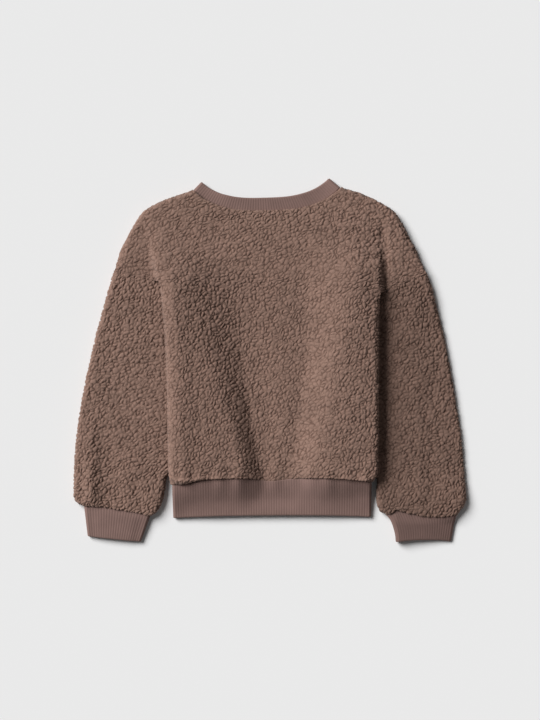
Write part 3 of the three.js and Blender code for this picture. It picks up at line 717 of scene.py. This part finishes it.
def sleeve(name, side, rows, upper_count, lower_count, bend_count, weights, keep):
    """A sleeve: a flattened tube of sherpa from armhole to cuff."""
    table = SLEEVES[side]
    last = len(table) - 1
    steps = np.hypot(np.diff(table[:, 0]), np.diff(table[:, 1])) + np.hypot(np.diff(table[:, 2]), np.diff(table[:, 3]))
    stations = np.concatenate([[0], np.cumsum(steps)])
    at = np.linspace(0, stations[-1], rows)
    dense = curve_through(stations, table, at)
    number = np.interp(at, stations, np.arange(len(table)))

    rings = {0.0: [], SHERPA: []}
    places = []
    for (ox, oy, ix, iy, thick), n in zip(dense, number):
        near_cuff = min(1, max(0, 1 - (last - n) / CUFF_GATHER["stations"]))
        bow = near_cuff * CUFFS[side]["bow"][0]
        left = 1 - (1 - CUFF_GATHER["fold_left"]) * max(0, n - (last - 1))

        def path(t, ox=ox, oy=oy, ix=ix, iy=iy, bow=bow, near_cuff=near_cuff):
            x = ox + (ix - ox) * t
            moved = near_cuff**2 * wander("cuff_right", x) if side == "right" else 0
            return x, oy + (iy - oy) * t + bow * dome(t, BAND_ROUND) + moved

        def folds_up(x, y, left=left):
            raised = folds_at(SLEEVE_FOLDS[side], x, y)
            if side == "right":
                out, along = beside_body(x, y)
                raised = raised - along * TROUGH["depth"] * np.exp(-((out / TROUGH["half"]) ** 2))
                raised = raised + shoulder_slope(x) * ease((y - 40) / 55)
            return np.clip(left * raised, *SLEEVE_FOLD_LIMITS)

        outward = (direction((ix, iy), (ox, oy)), direction((ox, oy), (ix, iy)))
        for inset, kept in rings.items():
            kept.append(flattened(
                path, path, outward, lambda x, y: 0 * x, thick, folds_up, inset, upper_count, lower_count, bend_count,
                right_sink if side == "right" else no_sink,
            ))
        places.append(cloth_round(rings[0.0][-1], outward, upper_count))
    face, inside = np.array(rings[0.0]), np.array(rings[SHERPA])
    inside[:, :upper_count, 2] = np.minimum(
        np.maximum(inside[:, :upper_count, 2], SHERPA + 0.3), face[:, :upper_count, 2] - THINNEST
    )
    lowest = face[:, :, 2] / face[:, :, 2].max()
    weight = weights["under"] + (weights["top"] - weights["under"]) * ease((lowest - 0.03) / 0.3)
    fold = np.zeros(face.shape[1])
    fold[upper_count + bend_count + lower_count :] = np.sin(np.linspace(0, math.pi, bend_count))
    weight = weight * (1 + (weights["fold"] - 1) * fold)
    if side == "right":
        across = np.concatenate([np.linspace(0, 1, upper_count), np.ones(face.shape[1] - upper_count)])
        weight = weight * (0.86 + 0.14 * ease((0.45 - across) / 0.3))
    last_step = face[-1] - face[-3]
    last_step[:, 2] = 0
    last_step /= np.linalg.norm(last_step, axis=1)[:, None]
    upper_only = ease((face[-1, :, 2] - 5) / 3)[:, None]
    face[-1] += OVERLAP * last_step * upper_only
    face[0, :, 2] -= 1.3 * upper_only[:, 0]
    face[1, :, 2] -= 0.7 * upper_only[:, 0]
    return shell(name, face, inside, np.array(places), weight, keep[0], keep[1], closed=True)


def cloth_round(ring, outward, upper_count):
    """Where a flattened tube's points are on the flat cloth: in plan on the upper layer, and unrolled beyond it."""
    count = len(ring)
    steps = np.linalg.norm(np.diff(np.vstack([ring, ring[:1]]), axis=0), axis=1)
    place = ring[:, :2].copy()
    half_way = upper_count + (count - upper_count) // 2
    ahead = np.cumsum(steps[upper_count - 1 : half_way - 1])
    place[upper_count:half_way] = ring[upper_count - 1, :2] + ahead[:, None] * np.array(outward[1])
    back_round = np.cumsum(steps[half_way:][::-1])[::-1]
    place[half_way:] = ring[0, :2] + back_round[:, None] * np.array(outward[0])
    return place


sleeve_sizes = {
    "rows": 250, "upper_count": 112, "lower_count": 56, "bend_count": 12,
    "weights": {"top": 0.95, "under": 0.35, "fold": 1.7}, "keep": (52, 34),
}
sleeve_left = sleeve("sleeve_of_sherpa_left", "left", **sleeve_sizes)
sleeve_right = sleeve("sleeve_of_sherpa_right", "right", **sleeve_sizes)

# %% [markdown]
# ## The rib bands
#
# Rib knit is made of raised columns of stitches with narrow grooves between them, so it stretches across and springs
# back. Each band is a flattened ring of it, folded double, and its ribs are real relief on the side that shows.

# %% Tables of the bands
RIB_PITCH = 3.2
RIB_RAISE = 0.28
BAND_AT_SEAM = 9.4
BAND_AT_EDGE = 6.8
HEM = {"sewn": ((-124, -158), (128.8, -154.7)), "free": ((-123, -200.6), (128.5, -199)), "bow": (5.4, 2.6)}
NECK = {
    "sewn": ((-97.6, 215.4), (89.4, 219)), "free": ((-87, 226.4), (75, 231)),
    "back": (189.1, 205.8), "front": (138.5, 157.5), "outward": ((-0.72, 0.69), (0.7, 0.71)),
}
PATH_COUNT = 160  # points on each layer of a band's section before they are spread evenly
COLUMNS_PER_RIB = 6
SEWN_ROUND = 0.6
EDGE_ROUND = 1.4  # how far in from its edge a band's fold is round

# %% Bands of rib knit


def spread_evenly(line, count):
    """Points at even distances along an open line."""
    along = np.concatenate([[0], np.cumsum(np.linalg.norm(np.diff(line, axis=0), axis=1))])
    at = np.linspace(0, along[-1], count)
    return np.stack([np.interp(at, along, line[:, n]) for n in range(3)], axis=-1)


def rib_band(name, paths, outward, low_at, swell_at, rows, keep, sink_at=None):
    """A flattened ring of rib knit, from its sewn edge to its free edge."""
    bend = 16
    shown_bend = bend // 2

    def ring_at(s, inset):
        upper, lower = paths(s)
        thick = BAND_AT_SEAM + (BAND_AT_EDGE - BAND_AT_SEAM) * s
        ring = flattened(
            upper, lower, outward, lambda x, y: low_at(x, y, s), thick, lambda x, y: swell_at(x, y, s), inset,
            PATH_COUNT, PATH_COUNT, bend, (lambda x, y: sink_at(x, y, s)) if sink_at else no_sink,
        )
        rolled = np.vstack([ring[-shown_bend:], ring[:-shown_bend]])
        shown = rolled[: PATH_COUNT + 2 * shown_bend]
        return shown, rolled[PATH_COUNT + 2 * shown_bend - 1 :]

    middle, _ = ring_at(0.5, 0.0)
    length = np.linalg.norm(np.diff(middle, axis=0), axis=1).sum()
    ribs = round(length / RIB_PITCH)
    up_count = COLUMNS_PER_RIB * ribs + 1
    down_count = max(24, up_count // 8)
    band_length = np.linalg.norm(middle[len(middle) // 2, :2] - ring_at(0.0, 0.0)[0][len(middle) // 2, :2]) * 2
    shares = np.concatenate([[0, 0.5 / band_length, 1.2 / band_length], np.linspace(2.4 / band_length, 1 - 2.4 / band_length, rows - 6), [1 - 1.2 / band_length, 1 - 0.5 / band_length, 1]])
    face, inside, places = [], [], []
    for s in shares:
        from_edge = min(s, 1 - s) * band_length
        edge_round = SEWN_ROUND if s < 0.5 else EDGE_ROUND
        round_in = edge_round - math.sqrt(max(0, edge_round**2 - max(0, edge_round - from_edge) ** 2))
        shown, hidden = ring_at(s, RIB_RAISE / 2 + round_in)
        up = spread_evenly(shown, up_count)
        ahead = np.gradient(up, axis=0)
        ahead /= np.linalg.norm(ahead, axis=1)[:, None]
        level = np.hypot(ahead[:, 0], ahead[:, 1])
        away = np.stack([ahead[:, 1], -ahead[:, 0]], axis=-1)
        centre = up[:, :2].mean(axis=0)
        away *= np.sign(np.einsum("ij,ij->i", away, up[:, :2] - centre))[:, None]
        side_on = np.abs(ahead[:, 2:3])
        flat_away = away / np.maximum(level[:, None], 1e-6)
        rest = np.stack([np.abs(ahead[:, 2]) * 0, np.abs(ahead[:, 2]) * 0, level], axis=-1)
        rest[:, :2] = 0
        outwards = up[:, :2] - centre
        ends = np.clip(np.linspace(-1, 1, up_count), -1, 1)
        end_way = np.where(ends[:, None] < 0, outward[0], outward[1])
        rest[:, :2] = end_way * side_on
        normal = rest / np.linalg.norm(rest, axis=1)[:, None]
        turn = np.linspace(0, ribs, up_count)
        raised = np.abs(np.sin(math.pi * turn)) ** 0.7 - 0.5
        fade = 0.4 + 0.6 * min(1, from_edge / 2.0)
        up = up + normal * (RIB_RAISE * fade * raised)[:, None]
        _, under = ring_at(s, round_in)
        down = spread_evenly(np.vstack([up[-1:], under[1:-1], up[:1]]), down_count + 2)[1:-1]
        ring = np.vstack([up, down])
        face.append(ring)
        inner_shown, inner_hidden = ring_at(s, RIB)
        inside.append(np.vstack([spread_evenly(inner_shown, up_count), spread_evenly(inner_hidden, down_count + 2)[1:-1]]))
        column = np.concatenate([turn * RIB_PITCH, np.linspace(ribs, 2 * ribs, down_count + 2)[1:-1] * RIB_PITCH])
        places.append(np.stack([column, np.full(len(column), s * band_length)], axis=-1))
    face = np.array(face)
    print(f"{name}: {ribs} ribs, {band_length:.0f} mm deep")
    return shell(name, face, np.array(inside), np.array(places), np.ones(face.shape[:2]), keep[0], keep[1], closed=True)


def straight_band(name, size, low_at, swell_at, rows, keep, sink_at=None, seam=None):
    """A band whose two layers lie along the same line, such as a cuff or the hem."""
    (sewn_a, sewn_b), (free_a, free_b) = size["sewn"], size["free"]

    def paths(s):
        a = [p + (q - p) * s for p, q in zip(sewn_a, free_a)]
        b = [p + (q - p) * s for p, q in zip(sewn_b, free_b)]
        b[0] = free_b[0] + (sewn_b[0] - free_b[0]) * (1 - s) ** size.get("flare", 1)
        bow = size["bow"][0] + (size["bow"][1] - size["bow"][0]) * s

        def path(t):
            x = a[0] + (b[0] - a[0]) * t
            moved = (1 - ease(s / 0.6)) * wander(seam, x) if seam else 0
            return x, a[1] + (b[1] - a[1]) * t + bow * dome(t, BAND_ROUND) + moved

        return path, path

    outward = (direction(sewn_b, sewn_a), direction(sewn_a, sewn_b))
    return rib_band(name, paths, outward, low_at, swell_at, rows, keep, sink_at)


def neck_band(name, rows, keep):
    """The neck band: its upper layer follows the back neckline, and its lower layer the front one."""
    (sewn_a, sewn_b), (free_a, free_b) = NECK["sewn"], NECK["free"]

    def paths(s):
        a = [p + (q - p) * s for p, q in zip(sewn_a, free_a)]
        b = [p + (q - p) * s for p, q in zip(sewn_b, free_b)]

        def along(which):
            sag = NECK[which][0] + (NECK[which][1] - NECK[which][0]) * s - (a[1] + b[1]) / 2

            def path(t):
                return a[0] + (b[0] - a[0]) * t, a[1] + (b[1] - a[1]) * t + sag * dome(t, NECK_ROUND[which])

            return path

        return along("back"), along("front")

    return rib_band(name, paths, NECK["outward"], on_floor, neck_swell, rows, keep)


under_hem = HEM_Y - RIB
HEM_DROOP = {"from": 70, "to": 128, "share": 0.6, "full": 0.5}  # the hem's right end sinks over this stretch
CUFF_SWELL = {"left": 1.6}
CUFF_TILT = {"inner": 5.0, "outer": 3.4}  # how much thicker and thinner the right cuff is at its two folds
NECK_RISE = 4.2


def hem_low(x, y, s):
    droop = ease((x - HEM_DROOP["from"]) / (HEM_DROOP["to"] - HEM_DROOP["from"])) * ease(s / HEM_DROOP["full"])
    return body_lift(x, np.full_like(x, under_hem)) * (1 - ease(s)) * (1 - HEM_DROOP["share"] * droop)


def hem_swell(x, y, s):
    """The band rises to the body's folds at its seam, and stands off the floor a little at its free edge."""
    from_edge = np.minimum(x - BODY[0, 0], BODY[0, 2] - x)
    to_folds = 3.3 + 0.75 * (body_air(x, np.full_like(x, HEM_Y), from_edge) - AIR)
    return to_folds * (1 - ease(s / 0.6)) + 2.4 * ease((s - 0.5) / 0.5)


def on_floor(x, y, s):
    return 0 * x


def level(x, y, s):
    return 0 * x


def cuff_left_swell(x, y, s):
    t = np.clip((x + 236) / 84, 0, 1)
    return CUFF_SWELL["left"] * ease(s / 0.25) * 4 * t * (1 - t)


def cuff_right_sink(x, y, s):
    t = np.clip((236 - x) / 84, 0, 1)
    return ease(s / 0.4) * (CUFF_TILT["outer"] - (CUFF_TILT["outer"] + CUFF_TILT["inner"]) * (1 - (1 - t) ** 1.7))


def neck_swell(x, y, s):
    return NECK_RISE * s + 0 * x


neck = neck_band("neck_of_rib", 18, (8, 60))
hem = straight_band("hem_of_rib", HEM, hem_low, hem_swell, 26, (8, 70), seam="hem")
cuff_left = straight_band("cuff_of_rib_left", CUFFS["left"], on_floor, cuff_left_swell, 24, (8, 40))
cuff_right = straight_band(
    "cuff_of_rib_right", CUFFS["right"], on_floor, level, 24, (8, 40), cuff_right_sink, seam="cuff_right",
)

# %% [markdown]
# ## The curls of the pile
#
# Sherpa is a knit whose long loops were brushed and tumbled until they curled into small woolly clumps, about 5 mm
# across, with dark pits between them. Particle hair would be slow and would vanish from an exported mesh. Here the
# clumps are cells of a Voronoi pattern, stretched one way, pushed about by noise so that they turn into worms, and
# merged where the pits between them are shallow. The same chain of nodes is built twice: in geometry nodes it moves
# the points of the mesh, and in the material it paints shade into the pits, so that the painted shade always fits the
# relief.

# %% The curl pattern
CURL = 4.5  # millimetres across a clump
CURL_STRETCH = 1.3  # how much longer than wide
CURL_SLANT = math.radians(38)
DRIFT = {"length": 16.0, "reach": 3.0}  # slow noise that bends the rows of clumps
FRAY = {"length": 2.8, "reach": 1.3}  # fast noise that makes each clump uneven
MERGE_LENGTH = 8.0


def moved_by_noise(tree, place, length, reach):
    """A place pushed about by noise, both in millimetres."""
    noise = node(tree, "ShaderNodeTexNoise", {"Vector": place, "Scale": 1 / length, "Detail": 1.0}, noise_dimensions="2D")
    centred = node(tree, "ShaderNodeVectorMath", {0: noise.outputs["Color"], 1: (0.5, 0.5, 0.5)}, operation="SUBTRACT")
    scaled = node(tree, "ShaderNodeVectorMath", {0: centred.outputs[0], "Scale": 2 * reach}, operation="SCALE")
    return node(tree, "ShaderNodeVectorMath", {0: place, 1: scaled.outputs[0]}, operation="ADD").outputs[0]


def curl_pattern(tree, place):
    """Sockets for how high the pile stands, 0 in a pit to 1 on a clump, and for a number of its own in each clump."""
    bent = moved_by_noise(tree, place, **DRIFT)
    frayed = moved_by_noise(tree, bent, **FRAY)
    turned = node(tree, "ShaderNodeVectorRotate", {"Vector": frayed, "Angle": -CURL_SLANT}, rotation_type="Z_AXIS")
    shape = node(
        tree, "ShaderNodeVectorMath", {0: turned.outputs[0], 1: (1 / (CURL * CURL_STRETCH), 1 / CURL, 1)},
        operation="MULTIPLY",
    )
    edges = node(
        tree, "ShaderNodeTexVoronoi", {"Vector": shape.outputs[0], "Scale": 1.0, "Randomness": 1.0},
        voronoi_dimensions="2D", feature="DISTANCE_TO_EDGE",
    )
    cells = node(
        tree, "ShaderNodeTexVoronoi", {"Vector": shape.outputs[0], "Scale": 1.0, "Randomness": 1.0},
        voronoi_dimensions="2D", feature="F1",
    )
    own = node(tree, "ShaderNodeSeparateXYZ", {0: cells.outputs["Color"]})
    rise = node(
        tree, "ShaderNodeMapRange",
        {"Value": edges.outputs["Distance"], "From Min": 0.0, "From Max": 0.30, "To Min": 0.0, "To Max": 1.0},
        interpolation_type="SMOOTHSTEP",
    )
    rounder = node(tree, "ShaderNodeMath", {0: rise.outputs[0], 1: 0.7}, operation="POWER")
    merge = node(
        tree, "ShaderNodeTexNoise", {"Vector": place, "Scale": 1 / MERGE_LENGTH, "Detail": 1.0}, noise_dimensions="2D"
    )
    pit = node(
        tree, "ShaderNodeMapRange",
        {"Value": merge.outputs["Fac"], "From Min": 0.36, "From Max": 0.62, "To Min": 0.4, "To Max": 1.0},
    )
    gone = node(tree, "ShaderNodeMath", {0: 1.0, 1: rounder.outputs[0]}, operation="SUBTRACT")
    depth = node(tree, "ShaderNodeMath", {0: gone.outputs[0], 1: pit.outputs[0]}, operation="MULTIPLY")
    own_depth = node(tree, "ShaderNodeMath", {0: own.outputs[0], 1: 0.22}, operation="MULTIPLY")
    sunk = node(tree, "ShaderNodeMath", {0: depth.outputs[0], 1: own_depth.outputs[0]}, operation="ADD")
    height = node(tree, "ShaderNodeMath", {0: 1.0, 1: sunk.outputs[0]}, operation="SUBTRACT", use_clamp=True)
    return height.outputs[0], own.outputs[1]


# %% Raise the curls on the four pieces of sherpa
PILE_DEPTH = 1.95
PILE_PROUD = 0.35


def curl_modifier_tree():
    """Geometry nodes that move each point of the pile along its normal by the curl pattern."""
    tree = bpy.data.node_groups.new("raise_curls", "GeometryNodeTree")
    tree.interface.new_socket("Geometry", in_out="INPUT", socket_type="NodeSocketGeometry")
    tree.interface.new_socket("Geometry", in_out="OUTPUT", socket_type="NodeSocketGeometry")
    start = node(tree, "NodeGroupInput")
    end = node(tree, "NodeGroupOutput")
    place = node(tree, "GeometryNodeInputNamedAttribute", {"Name": "cloth_place"}, data_type="FLOAT_VECTOR")
    weight = node(tree, "GeometryNodeInputNamedAttribute", {"Name": "pile_weight"}, data_type="FLOAT")
    height, _ = curl_pattern(tree, place.outputs["Attribute"])
    down = node(tree, "ShaderNodeMath", {0: height, 1: 1.0}, operation="SUBTRACT")
    moved = node(
        tree, "ShaderNodeMath", {0: down.outputs[0], 1: PILE_DEPTH * MM, 2: PILE_PROUD * MM}, operation="MULTIPLY_ADD"
    )
    free = node(tree, "ShaderNodeMath", {0: moved.outputs[0], 1: weight.outputs["Attribute"]}, operation="MULTIPLY")
    normal = node(tree, "GeometryNodeInputNormal")
    offset = node(
        tree, "ShaderNodeVectorMath", {0: normal.outputs[0], "Scale": free.outputs[0]}, operation="SCALE"
    )
    set_position = node(tree, "GeometryNodeSetPosition", {"Geometry": start.outputs[0], "Offset": offset.outputs[0]})
    tree.links.new(set_position.outputs[0], end.inputs[0])
    return tree


def raise_curls(piece, tree):
    """Applies the curls to a piece, and keeps its lowest points on the floor."""
    modifier = piece.modifiers.new("curls", "NODES")
    modifier.node_group = tree
    bpy.ops.object.select_all(action="DESELECT")
    piece.select_set(True)
    bpy.context.view_layer.objects.active = piece
    bpy.ops.object.modifier_apply(modifier=modifier.name)
    points = np.empty(len(piece.data.vertices) * 3, dtype=np.float32)
    piece.data.vertices.foreach_get("co", points)
    points = points.reshape(-1, 3)
    points[:, 2] = np.maximum(points[:, 2], 0)
    piece.data.vertices.foreach_set("co", points.ravel())
    piece.data.update()
    print(piece.name, "box, mm:", np.round(points.min(axis=0) / MM, 1), np.round(points.max(axis=0) / MM, 1))


curls = curl_modifier_tree()
for piece in (back, front, sleeve_left, sleeve_right):
    raise_curls(piece, curls)

# %% [markdown]
# ## The finishes
#
# Sherpa is matt and soft: light that grazes its fibres makes a faint halo, which the sheen gives. Its pits are
# painted darker than its curls, as painted shade for the little light that comes back out of them, and its colour
# drifts a little over the cloth.

# %% Sherpa fleece
# painted shade: from the high tone on the tops of the curls down to the pit tone, the colour darkens with depth in the
# pile
SHERPA_TONES_AND_PAINTED_SHADE = {"pit": (0.136, 0.078, 0.059), "low": (0.205, 0.125, 0.096), "high": (0.247, 0.154, 0.121)}


def colour(tone):
    return (*tone, 1.0)


def sherpa_material():
    """Woolly curls with painted shade in their pits, and fine fibres over them."""
    material, tree, shader = empty_material("sherpa_fleece")
    place = node(tree, "ShaderNodeAttribute", attribute_name="cloth_place").outputs["Vector"]
    height, own = curl_pattern(tree, place)
    # painted shade: this ramp darkens the colour from the tops of the curls down into the pits
    ramp = node(tree, "ShaderNodeValToRGB", {"Fac": height})
    stops = ramp.color_ramp.elements
    stops[0].position, stops[0].color = 0.02, colour(SHERPA_TONES_AND_PAINTED_SHADE["pit"])
    stops[1].position, stops[1].color = 1.0, colour(SHERPA_TONES_AND_PAINTED_SHADE["high"])
    middle = stops.new(0.5)
    middle.color = colour(SHERPA_TONES_AND_PAINTED_SHADE["low"])
    fibre = node(
        tree, "ShaderNodeTexNoise", {"Vector": place, "Scale": 1 / 0.9, "Detail": 3.0, "Roughness": 0.6},
        noise_dimensions="2D",
    )
    drift = node(tree, "ShaderNodeTexNoise", {"Vector": place, "Scale": 1 / 42.0, "Detail": 2.0}, noise_dimensions="2D")
    tone = node(tree, "ShaderNodeMath", {0: fibre.outputs["Fac"], 1: 0.5, 2: 0.75}, operation="MULTIPLY_ADD")
    tone = node(tree, "ShaderNodeMath", {0: drift.outputs["Fac"], 1: 0.24, 2: tone.outputs[0]}, operation="MULTIPLY_ADD")
    tone = node(tree, "ShaderNodeMath", {0: own, 1: 0.14, 2: tone.outputs[0]}, operation="MULTIPLY_ADD")
    tone = node(tree, "ShaderNodeMath", {0: tone.outputs[0], 1: 0.19}, operation="SUBTRACT")
    toned = node(tree, "ShaderNodeVectorMath", {0: ramp.outputs["Color"], "Scale": tone.outputs[0]}, operation="SCALE")
    tree.links.new(toned.outputs[0], shader.inputs["Base Color"])
    relief = node(tree, "ShaderNodeMath", {0: fibre.outputs["Fac"], 1: 0.5, 2: height}, operation="MULTIPLY_ADD")
    bump = node(tree, "ShaderNodeBump", {"Height": relief.outputs[0], "Strength": 0.5, "Distance": 0.0011})
    tree.links.new(bump.outputs["Normal"], shader.inputs["Normal"])
    shader.inputs["Roughness"].default_value = 1.0
    shader.inputs["Specular IOR Level"].default_value = 0.12
    shader.inputs["Sheen Weight"].default_value = 0.22
    shader.inputs["Sheen Roughness"].default_value = 0.6
    shader.inputs["Sheen Tint"].default_value = (0.8, 0.68, 0.62, 1)
    return material


sherpa = sherpa_material()
print("sherpa:", sherpa.name)

# %% [markdown]
# Rib knit shows as columns of small loops. The columns are relief in the mesh; the loops are bump, one row every
# millimetre. The grooves between the columns are painted a little darker than the ribs, as painted shade.

# %% Rib knit
LOOP = 1.05


def rib_material():
    """Columns of knitted loops."""
    material, tree, shader = empty_material("rib_knit")
    place = node(tree, "ShaderNodeAttribute", attribute_name="cloth_place").outputs["Vector"]
    parts = node(tree, "ShaderNodeSeparateXYZ", {0: place})
    across = node(tree, "ShaderNodeMath", {0: parts.outputs[0], 1: math.pi / RIB_PITCH}, operation="MULTIPLY")
    column = node(tree, "ShaderNodeMath", {0: across.outputs[0]}, operation="SINE")
    rib_top = node(tree, "ShaderNodeMath", {0: column.outputs[0]}, operation="ABSOLUTE")
    lean = node(tree, "ShaderNodeMath", {0: rib_top.outputs[0], 1: 2.2, 2: 0.0}, operation="MULTIPLY_ADD")
    loop = node(
        tree, "ShaderNodeMath", {0: parts.outputs[1], 1: 2 * math.pi / LOOP, 2: lean.outputs[0]}, operation="MULTIPLY_ADD"
    )
    row = node(tree, "ShaderNodeMath", {0: loop.outputs[0]}, operation="SINE")
    fuzz = node(
        tree, "ShaderNodeTexNoise", {"Vector": place, "Scale": 1 / 0.7, "Detail": 2.0}, noise_dimensions="2D"
    )
    drift = node(tree, "ShaderNodeTexNoise", {"Vector": place, "Scale": 1 / 18.0, "Detail": 2.0}, noise_dimensions="2D")
    # painted shade: the ramp makes the grooves between the ribs a little darker than the ribs' tops
    ramp = node(tree, "ShaderNodeValToRGB", {"Fac": rib_top.outputs[0]})
    stops = ramp.color_ramp.elements
    stops[0].position, stops[0].color = 0.0, (0.200, 0.126, 0.109, 1)
    stops[1].position, stops[1].color = 0.6, (0.220, 0.139, 0.121, 1)
    tone = node(tree, "ShaderNodeMath", {0: fuzz.outputs["Fac"], 1: 0.3, 2: 0.85}, operation="MULTIPLY_ADD")
    tone = node(tree, "ShaderNodeMath", {0: drift.outputs["Fac"], 1: 0.2, 2: tone.outputs[0]}, operation="MULTIPLY_ADD")
    tone = node(tree, "ShaderNodeMath", {0: tone.outputs[0], 1: 0.1}, operation="SUBTRACT")
    toned = node(tree, "ShaderNodeVectorMath", {0: ramp.outputs["Color"], "Scale": tone.outputs[0]}, operation="SCALE")
    tree.links.new(toned.outputs[0], shader.inputs["Base Color"])
    relief = node(tree, "ShaderNodeMath", {0: row.outputs[0], 1: 0.4, 2: fuzz.outputs["Fac"]}, operation="MULTIPLY_ADD")
    bump = node(tree, "ShaderNodeBump", {"Height": relief.outputs[0], "Strength": 0.4, "Distance": 0.0004})
    tree.links.new(bump.outputs["Normal"], shader.inputs["Normal"])
    shader.inputs["Roughness"].default_value = 0.95
    shader.inputs["Specular IOR Level"].default_value = 0.15
    shader.inputs["Sheen Weight"].default_value = 0.15
    shader.inputs["Sheen Roughness"].default_value = 0.5
    shader.inputs["Sheen Tint"].default_value = (0.8, 0.7, 0.65, 1)
    return material


rib_knit = rib_material()
print("rib knit:", rib_knit.name)

# %% [markdown]
# ## What each piece is
#
# Each piece takes the place of its imported solid and lies still with the garment.

PIECES = (
    (back, "back_panel", "sherpa_fleece", (0.396, 0.376), 0.110, ["front_panel"]),
    (front, "front_panel", "sherpa_fleece", (0.396, 0.376), 0.103, ["sleeve_left", "sleeve_right", "floor"]),
    (sleeve_left, "sleeve_left", "sherpa_fleece", (0.34, 0.30), 0.080, ["floor"]),
    (sleeve_right, "sleeve_right", "sherpa_fleece", (0.33, 0.29), 0.0736, ["floor"]),
    (neck, "neck_rib", "rib_knit", (0.42, 0.0215), 0.0088, ["floor"]),
    (hem, "hem_rib", "rib_knit", (0.525, 0.0465), 0.0243, ["floor"]),
    (cuff_left, "cuff_left", "rib_knit", (0.165, 0.0385), 0.0063, ["floor"]),
    (cuff_right, "cuff_right", "rib_knit", (0.16, 0.0385), 0.0061, ["floor"]),
)
FINISHES = {"sherpa_fleece": sherpa, "rib_knit": rib_knit}

for piece, solid_name, slot_name, flat_size, flat_area, under in PIECES:
    piece.data.materials.append(FINISHES[slot_name])
    (lit_far if piece in (sleeve_right, cuff_right) else lit_garment).objects.link(piece)
    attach(piece, "root")
    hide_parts(solid_name)
    print(piece.name, "stands for", solid_name)
